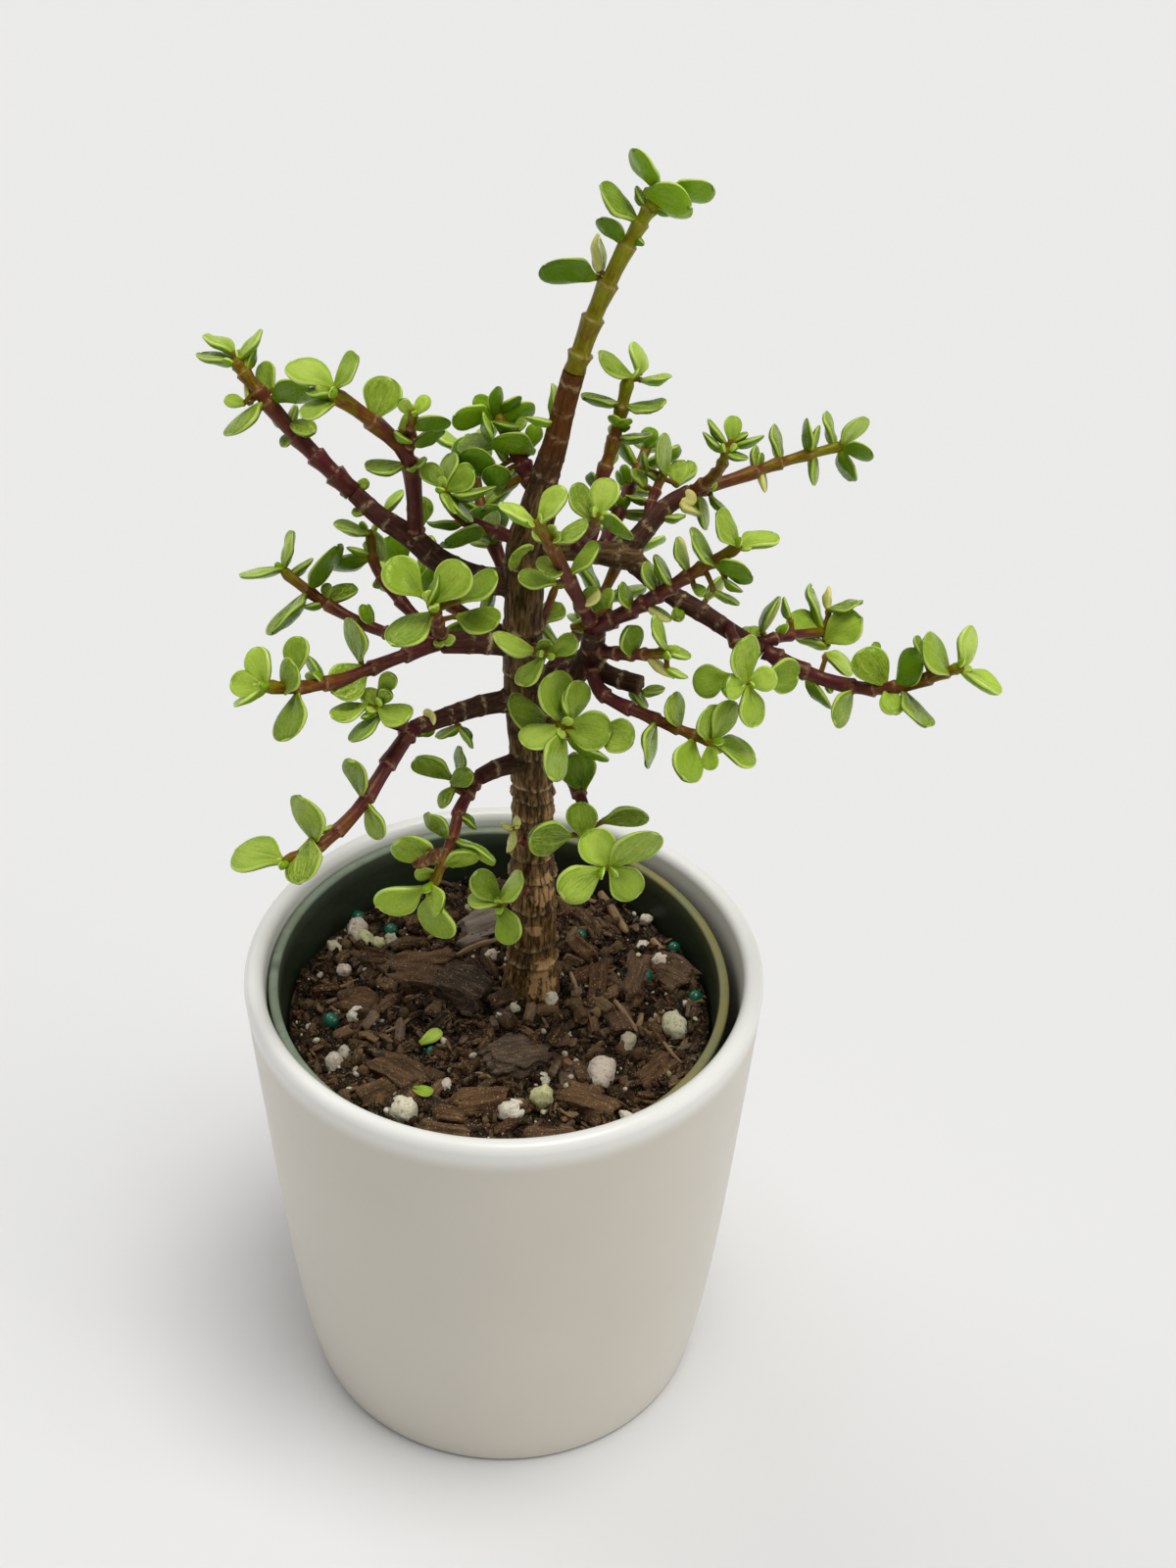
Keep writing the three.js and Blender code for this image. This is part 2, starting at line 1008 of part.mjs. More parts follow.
function shootStations(shoot) {
  const radiusAt = (distance) =>
    shoot.stem[0] + ((shoot.stem[1] - shoot.stem[0]) * distance) / shoot.path.length;
  const distances = leafPairs(shoot).map((pair) => pair.distance);
  const stations = [{ distance: 0, radius: shoot.stem[0] }];
  if (shoot.bare > LONG_BARE) stations.push({ distance: shoot.bare / 2, radius: radiusAt(shoot.bare / 2) });
  for (let i = 1; i < distances.length; i++) {
    const middle = (distances[i] + distances[i - 1]) / 2;
    stations.push({ distance: middle, radius: radiusAt(middle) });
  }
  stations.push({ distance: shoot.path.length + TIP_BUD_LENGTH, radius: TIP_BUD_SHARE * shoot.stem[1] });
  return stations;
}

function largestBody(solid) {
  return solid.decompose().reduce((best, body) => (body.volume() > best.volume() ? body : best));
}

function woodSolid(extra) {
  return limbs
    .map((limb) => stemSolid(limb.path, limbStations(limb, extra), limb.sides))
    .reduce((wood, limb) => wood.add(limb));
}

const materials = {
  ceramic: new THREE.MeshStandardMaterial({ color: "#e4ded3", roughness: 0.35, metalness: 0 }),
  liner: new THREE.MeshStandardMaterial({ color: "#5d6b4a", roughness: 0.5, metalness: 0 }),
  soil: new THREE.MeshStandardMaterial({ color: "#3a2a20", roughness: 0.95, metalness: 0 }),
  bark: new THREE.MeshStandardMaterial({ color: "#5a4234", roughness: 0.9, metalness: 0 }),
  leaf: new THREE.MeshStandardMaterial({ color: "#5c8f35", roughness: 0.45, metalness: 0 }),
};

function potWallRadius(z) {
  const straight = POT_RIM_RADIUS - POT_TAPER * (POT_HEIGHT - POT_LIP_RADIUS - z);
  return straight - POT_HEEL_DEPTH * Math.exp(-z / POT_HEEL_REACH);
}

function ceramicPot() {
  const lipCentre = POT_RIM_RADIUS - POT_LIP_RADIUS;
  const cornerCentre = POT_INNER_FOOT_RADIUS - POT_INNER_CORNER_RADIUS;
  const profile = [
    new THREE.Vector2(0, 0),
    new THREE.Vector2(potWallRadius(0) - POT_EDGE, 0),
    ...POT_WALL_HEIGHTS.map((z) => new THREE.Vector2(potWallRadius(z), z)),
    ...arc(lipCentre, POT_HEIGHT - POT_LIP_RADIUS, POT_LIP_RADIUS, 0, 180, 5),
    ...arc(cornerCentre, POT_FLOOR_Z + POT_INNER_CORNER_RADIUS, POT_INNER_CORNER_RADIUS, 0, -90, 2),
    new THREE.Vector2(0, POT_FLOOR_Z),
  ];
  return meshOf("ceramic_pot", turned(profile, POT_SEGMENTS), materials.ceramic);
}

const linerFloorZ = POT_FLOOR_Z + GAP;
const linerBandZ = LINER_RIM_Z - LINER_BAND_HEIGHT;
const linerInnerRimRadius = LINER_RIM_RADIUS - LINER_RIM_WIDTH;
const linerInnerFootZ = linerFloorZ + LINER_FLOOR;
const linerInnerFootRadius = LINER_BASE_RADIUS - LINER_WALL;

function linerInnerRadius(z) {
  const share = (z - linerInnerFootZ) / (LINER_RIM_Z - linerInnerFootZ);
  return linerInnerFootRadius + (linerInnerRimRadius - linerInnerFootRadius) * share;
}

function nurseryPot() {
  const bandWall = linerInnerRadius(linerBandZ) + LINER_WALL;
  const profile = [
    new THREE.Vector2(0, linerFloorZ),
    new THREE.Vector2(LINER_BASE_RADIUS - 1.6, linerFloorZ),
    new THREE.Vector2(LINER_BASE_RADIUS, linerFloorZ + 1.6),
    new THREE.Vector2(bandWall, linerBandZ),
    new THREE.Vector2(LINER_RIM_RADIUS - 0.2, linerBandZ + 0.4),
    new THREE.Vector2(LINER_RIM_RADIUS, LINER_RIM_Z - 0.8),
    new THREE.Vector2(LINER_RIM_RADIUS - 0.8, LINER_RIM_Z),
    new THREE.Vector2(linerInnerRimRadius + 0.7, LINER_RIM_Z),
    new THREE.Vector2(linerInnerRimRadius, LINER_RIM_Z - 0.8),
    new THREE.Vector2(linerInnerFootRadius, linerInnerFootZ + 1),
    new THREE.Vector2(linerInnerFootRadius - 1.2, linerInnerFootZ),
    new THREE.Vector2(0, linerInnerFootZ),
  ];
  let pot = turned(profile, LINER_SEGMENTS);
  for (let i = 0; i < DRAIN_HOLES; i++) {
    const angle = (2 * Math.PI * i) / DRAIN_HOLES;
    const hole = new THREE.CylinderGeometry(DRAIN_RADIUS, DRAIN_RADIUS, 4 * LINER_FLOOR, 10);
    hole.rotateX(Math.PI / 2);
    hole.translate(
      DRAIN_CIRCLE_RADIUS * Math.cos(angle),
      DRAIN_CIRCLE_RADIUS * Math.sin(angle),
      linerFloorZ + LINER_FLOOR / 2,
    );
    pot = pot.subtract(solidOf(hole));
  }
  pot = pot.warp((point) => {
    const share = (point[2] - linerFloorZ) / (LINER_RIM_Z - linerFloorZ);
    point[2] += share * (LINER_LEAN_X * point[0] + LINER_LEAN_Y * point[1]);
  });
  const mesh = meshOf("nursery_pot", pot, materials.liner);
  mesh.position.set(LINER_SHIFT_X, LINER_SHIFT_Y, 0);
  return mesh;
}

// The soil's lumpy top, higher around the trunk.
function soilHeight(x, y) {
  const fromTrunk = Math.hypot(x - LIMBS[0].route[0][0], y - LIMBS[0].route[0][1]);
  const mound = SOIL_MOUND * Math.exp(-((fromTrunk / SOIL_MOUND_REACH) ** 2));
  const lumps =
    0.8 * Math.sin(0.31 * x + 1) * Math.cos(0.27 * y) + 0.5 * Math.sin(0.83 * x - 0.5 * y) +
    0.5 * Math.cos(0.9 * y + 0.45 * x);
  return SOIL_EDGE_Z + mound + lumps;
}

// Bark chips lying on the soil: centre, the three sizes, and how far each is turned and tipped, in degrees.
const BARK_CHIPS = [
  { at: [-22, 13], size: [19, 10, 4.5], turn: -10, tip: 6 },
  { at: [-20, 17], size: [14, 5, 5.5], turn: -8, tip: 12 },
  { at: [-10, 5], size: [13, 12, 5.5], turn: -30, tip: -8 },
  { at: [-6, 31], size: [11, 8, 4], turn: 20, tip: 10 },
  { at: [42.8, 13.8], size: [12, 9, 5], turn: -48, tip: 14 },
  { at: [34, 10], size: [17, 6, 4.5], turn: 78, tip: -6 },
  { at: [24, 6], size: [15, 4.5, 4], turn: 84, tip: 8 },
  { at: [3, -18], size: [15, 12, 5.5], turn: 20, tip: -12 },
  { at: [-26, -23], size: [15, 7, 4], turn: -42, tip: 8 },
  { at: [20, -33], size: [15, 7, 4.5], turn: -28, tip: 7 },
  { at: [-6, -33], size: [13, 7, 4], turn: 5, tip: 7 },
  { at: [-31, -29], size: [11, 6, 4], turn: 35, tip: -8 },
  { at: [-37, 2], size: [9, 8, 3.5], turn: -20, tip: 9 },
  { at: [24, 33], size: [12, 8, 4], turn: -55, tip: -8 },
  { at: [-34, 20], size: [10, 6, 4], turn: -20, tip: 9 },
  { at: [38, -22], size: [12, 7, 4], turn: 50, tip: 6 },
  { at: [12, -44], size: [13, 6, 4], turn: 10, tip: -5 },
  { at: [-15, -43.5], size: [12, 6, 4], turn: -15, tip: 6 },
  { at: [20, 22], size: [11, 5, 4], turn: -60, tip: 9 },
];

function barkChip({ at: [x, y], size: [long, wide, thick], turn, tip }) {
  const geometry = new THREE.BoxGeometry(long, wide, thick);
  const place = new THREE.Euler(
    THREE.MathUtils.degToRad(tip),
    THREE.MathUtils.degToRad(-0.7 * tip),
    THREE.MathUtils.degToRad(turn),
    "ZYX",
  );
  const skew = new THREE.Matrix4().makeShear(0.18, 0, 0, 0.12, 0, 0);
  geometry.applyMatrix4(skew);
  geometry.applyMatrix4(new THREE.Matrix4().makeRotationFromEuler(place));
  geometry.translate(x, y, soilHeight(x, y) + thick / 5);
  return solidOf(geometry);
}

// Grains of perlite and pumice that show on the surface: place and radius.
const GRAINS = [
  [43.2, -6.3, 3.6],
  [41.8, 18.8, 2.8],
  [24.3, -23.9, 3.8],
  [1.6, -35.8, 3.2],
  [9.2, -32.4, 3.6],
  [-24.2, -36.1, 3.6],
  [-38.5, 30.5, 3],
  [-35.7, 27, 2.4],
  [-42, -19, 2.6],
  [31, -13, 2.4],
];

function grain([x, y, radius]) {
  const geometry = new THREE.OctahedronGeometry(radius);
  geometry.scale(1.15, 0.9, 0.8);
  geometry.rotateZ(x);
  geometry.translate(x, y, soilHeight(x, y) + radius * 0.25);
  return solidOf(geometry);
}

function soil(roots) {
  const points = [];
  const faces = [];
  const bottomZ = linerInnerFootZ + GAP;
  const edge = linerInnerRadius(SOIL_EDGE_Z) - 2 * GAP;
  const onRing = (radius, k) => {
    const angle = (2 * Math.PI * k) / SOIL_SEGMENTS;
    return [LINER_SHIFT_X + radius * Math.cos(angle), LINER_SHIFT_Y + radius * Math.sin(angle)];
  };
  const middle = soilHeight(LINER_SHIFT_X, LINER_SHIFT_Y);
  points.push(new THREE.Vector3(LINER_SHIFT_X, LINER_SHIFT_Y, middle));
  for (let ring = 1; ring <= SOIL_RINGS; ring++)
    for (let k = 0; k < SOIL_SEGMENTS; k++) {
      const [x, y] = onRing((edge * ring) / SOIL_RINGS, k);
      points.push(new THREE.Vector3(x, y, soilHeight(x, y)));
    }
  for (let k = 0; k < SOIL_SEGMENTS; k++)
    points.push(new THREE.Vector3(...onRing(linerInnerRadius(bottomZ + 1) - 2 * GAP, k), bottomZ + 1));
  points.push(new THREE.Vector3(LINER_SHIFT_X, LINER_SHIFT_Y, bottomZ));
  const bottom = points.length - 1;
  for (let k = 0; k < SOIL_SEGMENTS; k++) {
    const next = (k + 1) % SOIL_SEGMENTS;
    faces.push([0, 1 + k, 1 + next]);
    for (let ring = 0; ring < SOIL_RINGS; ring++) {
      const [a, b] = [1 + ring * SOIL_SEGMENTS + k, 1 + ring * SOIL_SEGMENTS + next];
      faces.push([a, a + SOIL_SEGMENTS, b + SOIL_SEGMENTS], [a, b + SOIL_SEGMENTS, b]);
    }
    const last = 1 + SOIL_RINGS * SOIL_SEGMENTS;
    faces.push([last + k, bottom, last + next]);
  }
  let body = solidOf(closedGeometry(points, faces));
  for (const chip of BARK_CHIPS) body = body.add(barkChip(chip));
  for (const place of GRAINS) body = body.add(grain(place));
  return meshOf("soil", largestBody(body.subtract(roots)), materials.soil);
}

function bonsai() {
  const group = new THREE.Group();
  const wood = woodSolid(0);
  const grownWood = woodSolid(GAP);
  group.add(ceramicPot());
  group.add(nurseryPot());
  group.add(soil(grownWood));
  group.add(meshOf("trunk", wood, materials.bark));

  // Each shoot is cut back where it meets the wood or an earlier shoot, as a stem meets its collar.
  const leaves = growLeaves();
  let taken = grownWood;
  for (const shoot of shoots) {
    const stations = shootStations(shoot);
    const stem = stemSolid(shoot.path, stations, SHOOT_SIDES);
    const blades = leaves.filter((leaf) => leaf.shoot === shoot.index).map(leafSolid);
    const whole = blades.reduce((body, blade) => body.add(blade), stem);
    group.add(meshOf(shoot.name, largestBody(whole.subtract(taken)), materials.leaf));
    const grown = stations.map(({ distance, radius }) => ({ distance, radius: radius + GAP }));
    taken = taken.add(stemSolid(shoot.path, grown, SHOOT_SIDES));
  }
  return group;
}

export default bonsai();
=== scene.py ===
"""Looks for the dwarf jade bonsai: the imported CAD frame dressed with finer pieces. Lengths are in
millimetres, and turn into metres where a mesh is made."""

import math

import bpy
import numpy as np
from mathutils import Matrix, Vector


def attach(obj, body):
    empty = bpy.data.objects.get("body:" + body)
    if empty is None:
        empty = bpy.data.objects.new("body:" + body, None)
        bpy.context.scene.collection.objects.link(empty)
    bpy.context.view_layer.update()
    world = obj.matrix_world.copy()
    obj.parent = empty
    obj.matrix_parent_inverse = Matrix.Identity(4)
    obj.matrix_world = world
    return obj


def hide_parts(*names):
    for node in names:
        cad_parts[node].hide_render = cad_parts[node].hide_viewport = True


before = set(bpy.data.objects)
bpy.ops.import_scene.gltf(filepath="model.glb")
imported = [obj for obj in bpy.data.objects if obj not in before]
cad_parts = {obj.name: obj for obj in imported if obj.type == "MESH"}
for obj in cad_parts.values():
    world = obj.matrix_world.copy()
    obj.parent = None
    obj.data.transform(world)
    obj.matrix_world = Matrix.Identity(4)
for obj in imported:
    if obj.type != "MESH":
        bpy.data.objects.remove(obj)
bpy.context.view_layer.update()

MM = 0.001
UP = np.array([0.0, 0.0, 1.0])
OUTWARD = np.array([0.0, -0.6, 0.8])

# ---------------------------------------------------------------- the camera
PICTURE_WIDTH, PICTURE_HEIGHT = 1200, 1600
VIEW_POINT = np.array([0.1, -443.4, 520.1])
VIEW_TILT = math.radians(37.03)  # below level
VIEW_FOCUS = 2400.0  # focal length, in pixels of the picture
VIEW_MIDDLE = (514.5, 800.0)  # the pixel that the camera points at
FORWARD = np.array([0.0, math.cos(VIEW_TILT), -math.sin(VIEW_TILT)])
RIGHTWARD = np.array([1.0, 0.0, 0.0])
VIEW_UP = np.cross(RIGHTWARD, FORWARD)


def sight(x, y):
    """The line of sight through a pixel, one millimetre long in depth."""
    across, down = (x - VIEW_MIDDLE[0]) / VIEW_FOCUS, (y - VIEW_MIDDLE[1]) / VIEW_FOCUS
    return FORWARD + across * RIGHTWARD - down * VIEW_UP


def seen(points):
    """The pixel and the depth of each point."""
    from_view = points - VIEW_POINT
    depth = from_view @ FORWARD
    across = VIEW_MIDDLE[0] + VIEW_FOCUS * (from_view @ RIGHTWARD) / depth
    down = VIEW_MIDDLE[1] - VIEW_FOCUS * (from_view @ VIEW_UP) / depth
    return np.column_stack([across, down]), depth


# ---------------------------------------------------------------- the tree's routes, as in the CAD source
# For each limb: its waypoints, and its radius at each of them.
LIMBS = {
    "trunk": (
        [[7, 7, 92], [7, 7, 108], [7, 7, 116], [7, 7, 123], [7.5, 7, 137], [7, 7, 159], [7, 7, 180],
         [5.5, 7, 198], [4.5, 7, 214], [4.5, 7, 231], [5, 7, 246], [7.5, 7, 256], [9, 7, 264]],
        [4, 6.6, 7.6, 6.2, 5.7, 5.2, 5, 4.9, 4.7, 4.5, 4.7, 4.2, 3.2],
    ),
    "leader": (
        [[7.5, 7, 256], [9, 7, 264.5], [11, 7, 272], [13, 7, 281.5], [15, 7, 290]],
        [3.4, 3.2, 2.8, 2.5, 2.5],
    ),
    "left_high": (
        [[3, 7, 237], [-5.5, 9, 237], [-14, 11, 240], [-21, 14, 245], [-28, 17, 248.5], [-34, 20, 253]],
        [3.4, 3, 2.9, 2.6, 2.3, 2.1],
    ),
    "left_middle": ([[4, 6, 221], [-5, 4, 223], [-14, 1, 225]], [3, 2.7, 2.6]),
    "left_low": ([[4.5, 6, 206], [-4, 3, 206.5], [-13, -4, 208], [-21, -9, 208]], [2.8, 2.5, 2.2, 2]),
    "left_lowest": ([[5, 6, 188], [-1, 2, 189], [-6, -2, 189]], [2.6, 2.2, 2]),
    "right_low": ([[6, 6, 197], [11, 1, 195], [14, -3, 193]], [2.6, 2.2, 1.9]),
    "right_middle": (
        [[6, 6, 211], [13, 3, 214], [18, 0, 219], [20, -4, 228], [20, -8, 235]],
        [3.4, 3, 2.8, 2.7, 2.4],
    ),
    "cut_stub": ([[19, -3, 222], [24.5, -6, 220.5], [31, -9, 220]], [2.3, 2.2, 2.3]),
    "right_high": (
        [[5, 7, 246], [15, 7, 246], [21.5, 6, 245.5], [27, 6, 245], [31, 6, 245]],
        [3.2, 2.7, 2.6, 3.4, 2.3],
    ),
    "right_back": ([[27, 6, 245], [32, 9, 250.5], [37, 13, 254], [42, 15, 256]], [2.6, 2.3, 2.1, 2]),
    "right_front": (
        [[27.5, 6, 245], [36.5, 2, 238], [44, -1, 234.5], [51, -4, 231], [58, -7, 228]],
        [2.6, 2.3, 2.2, 2, 1.9],
    ),
}

# For each shoot: its route, the stem's radius at both ends, the bare length before the first leaves, the gap
# between leaf pairs, the first pair's turn round the stem in degrees, and the length of a leaf.
SHOOTS = {
    "leader": (
        [[15, 7, 290], [19, 8, 302.5], [24.5, 8, 316], [30.5, 8, 327.5]],
        (2.5, 1.5), 22, 11, 60, 10.5,
    ),
    "left_high": (
        [[-34, 20, 253], [-46.5, 25, 264.5], [-56, 29, 275.5], [-59.5, 31, 279.5]],
        (2.4, 1.5), 8, 8, 105, 9.5,
    ),
    "left_fork": (
        [[-20, 14, 244], [-20, 14, 256], [-21.5, 11, 268], [-30, 7, 279.5], [-36, 3, 286.5]],
        (2.1, 1.7), 20, 10, 135, 11.5,
    ),
    "left_fork_side": ([[-21, 12, 267], [-20, 8, 274.5], [-19.5, 5, 281]], (1.4, 1), 5, 6, 150, 8),
    "crown_back": (
        [[7.5, 8, 259], [4.5, 12, 264], [1.5, 16, 268], [-1.5, 20, 272.5]],
        (2.2, 1.4), 8, 5, 90, 9.5,
    ),
    "crown_left": (
        [[4, 7, 248], [-5.5, 8, 251.5], [-10.5, 7, 255], [-13, 5, 262]],
        (1.7, 1.2), 6, 6, 15, 10,
    ),
    "left_middle": (
        [[-14, 1, 225], [-25, -6, 225], [-36, -14, 225], [-46, -20, 227], [-51.5, -23, 229.5]],
        (1.7, 1.5), 21, 12, 60, 12.5,
    ),
    "left_middle_back": (
        [[-14, 1, 225], [-27, 3, 226.5], [-38.5, 8, 229.5], [-47, 12, 234], [-50, 15, 235]],
        (1.6, 1.3), 16, 9, 165, 11.5,
    ),
    "left_middle_rear": (
        [[-14, 1, 225], [-23, 8, 231], [-29, 14, 236.5], [-30.5, 20, 242]],
        (1.6, 1.2), 20, 9, 15, 10.5,
    ),
    "left_rosette": ([[-14, 1, 225], [-14.5, -7, 235.5], [-15.5, -15, 245.5]], (1.7, 1.2), 4, 10, 15, 13),
    "left_low": (
        [[-21, -9, 208], [-26, -18, 205], [-32.5, -27, 199], [-40.5, -34, 194.5], [-48, -38, 193]],
        (2.1, 1.3), 16, 12, 135, 13,
    ),
    "left_low_side": ([[-21, -9, 208], [-25, -12, 212], [-28, -16, 218.5]], (1.6, 1.1), 5, 6, 135, 11.5),
    "left_lowest": (
        [[-6, -2, 189], [-10, -11, 187], [-12, -19, 184], [-16, -27, 177.5]],
        (1.7, 1.3), 12, 6, 120, 12,
    ),
    "low_rosette": ([[7, 7, 148.5], [3.5, -1, 153.5], [-0.5, -10, 157]], (1.7, 1.1), 14, 6, 45, 11),
    "right_low": (
        [[14, -3, 193], [17.5, -12, 191.5], [20, -21, 187.5], [23, -30, 185]],
        (1.8, 1.2), 6, 11, 165, 12,
    ),
    "front_rosette": ([[6, 6, 203], [10, -5, 207], [13, -15, 213]], (1.8, 1.2), 5, 7, 120, 12.5),
    "front_twig": ([[6, 6, 220.5], [7.5, -4, 225.5], [9, -10, 229]], (1.5, 1), 4, 9, 150, 10),
    "right_middle": (
        [[20, -8, 235], [29, -10, 241.5], [40, -12, 251], [49.5, -14, 259]],
        (2.1, 1.3), 7, 7, 165, 10.5,
    ),
    "right_upright": (
        [[20, -8, 235], [15.5, -13, 247], [10.5, -20, 262], [7, -26, 272]],
        (1.8, 1.4), 11, 7, 150, 10.5,
    ),
    "right_inner": ([[19.5, -5, 227], [27, -12, 230.5], [35, -19, 235.5]], (1.7, 1.2), 12, 6, 150, 10.5),
    "right_under": (
        [[19, -2, 223], [22, -11, 219.5], [32, -18, 218], [45.5, -25, 216]],
        (1.9, 1.2), 21, 9, 75, 11.5,
    ),
    "centre": ([[16, 7, 246], [18.5, -3, 256.5], [20, -11, 265]], (1.7, 1.2), 16, 9, 15, 11),
    "right_back": (
        [[42, 15, 256], [53, 19, 257.5], [64, 23, 259.5], [76, 26, 261.5]],
        (1.7, 1.2), 10, 8, 165, 9.5,
    ),
    "right_back_top": ([[42, 15, 256], [47, 12, 262.5], [48.5, 8, 270]], (1.5, 1.1), 10, 5, 75, 9),
    "right_crown": ([[32, 9, 249], [33, 15, 252.5], [35.5, 21, 256.5]], (1.6, 1.1), 4, 5, 75, 10),
    "crown_right": (
        [[19, 7, 246], [20.5, 9, 258.5], [24, 13, 269.5], [27, 17, 282.5]],
        (1.7, 1.5), 20, 10, 0, 10,
    ),
    "right_front": (
        [[58, -7, 228], [72, -12, 223.5], [85, -18, 225.5], [98, -24, 235]],
        (2, 1.3), 15, 9, 75, 12,
    ),
    "right_front_rosette": (
        [[50, -4, 232.5], [52, -13, 231], [53, -21, 229.5]],
        (1.5, 1.1), 6, 6, 0, 11.5,
    ),
    "right_front_back": ([[57, -6, 229.5], [64.5, -2, 229], [72, 2, 227]], (1.5, 1.1), 5, 6, 30, 11),
    "back_leaf": ([[6, 8, 219], [9, 15, 222], [12, 21, 227]], (1.3, 0.9), 10, 6, 90, 9),
    "back_high": ([[4, 8, 227], [0, 22, 231], [-5, 34, 240], [-8, 45, 250]], (1.9, 1.2), 12, 11, 90, 12),
    "back_right": ([[6, 8, 206], [15, 21, 210], [23, 33, 216], [29, 43, 224]], (1.9, 1.2), 14, 11, 90, 12),
    "back_left": (
        [[5, 9, 221], [-5, 18, 219], [-15, 26, 221], [-24, 32, 226]],
        (1.9, 1.2), 14, 11, 90, 12,
    ),
    "back_crown": ([[22, 7, 246], [27, 20, 250], [33, 34, 257]], (1.8, 1.2), 12, 8, 90, 12),
    "trunk_sprout": ([[6.5, 5, 163.5], [3.5, 0, 169], [2.5, -2, 173.5]], (1, 0.7), 6, 5, 90, 6),
}

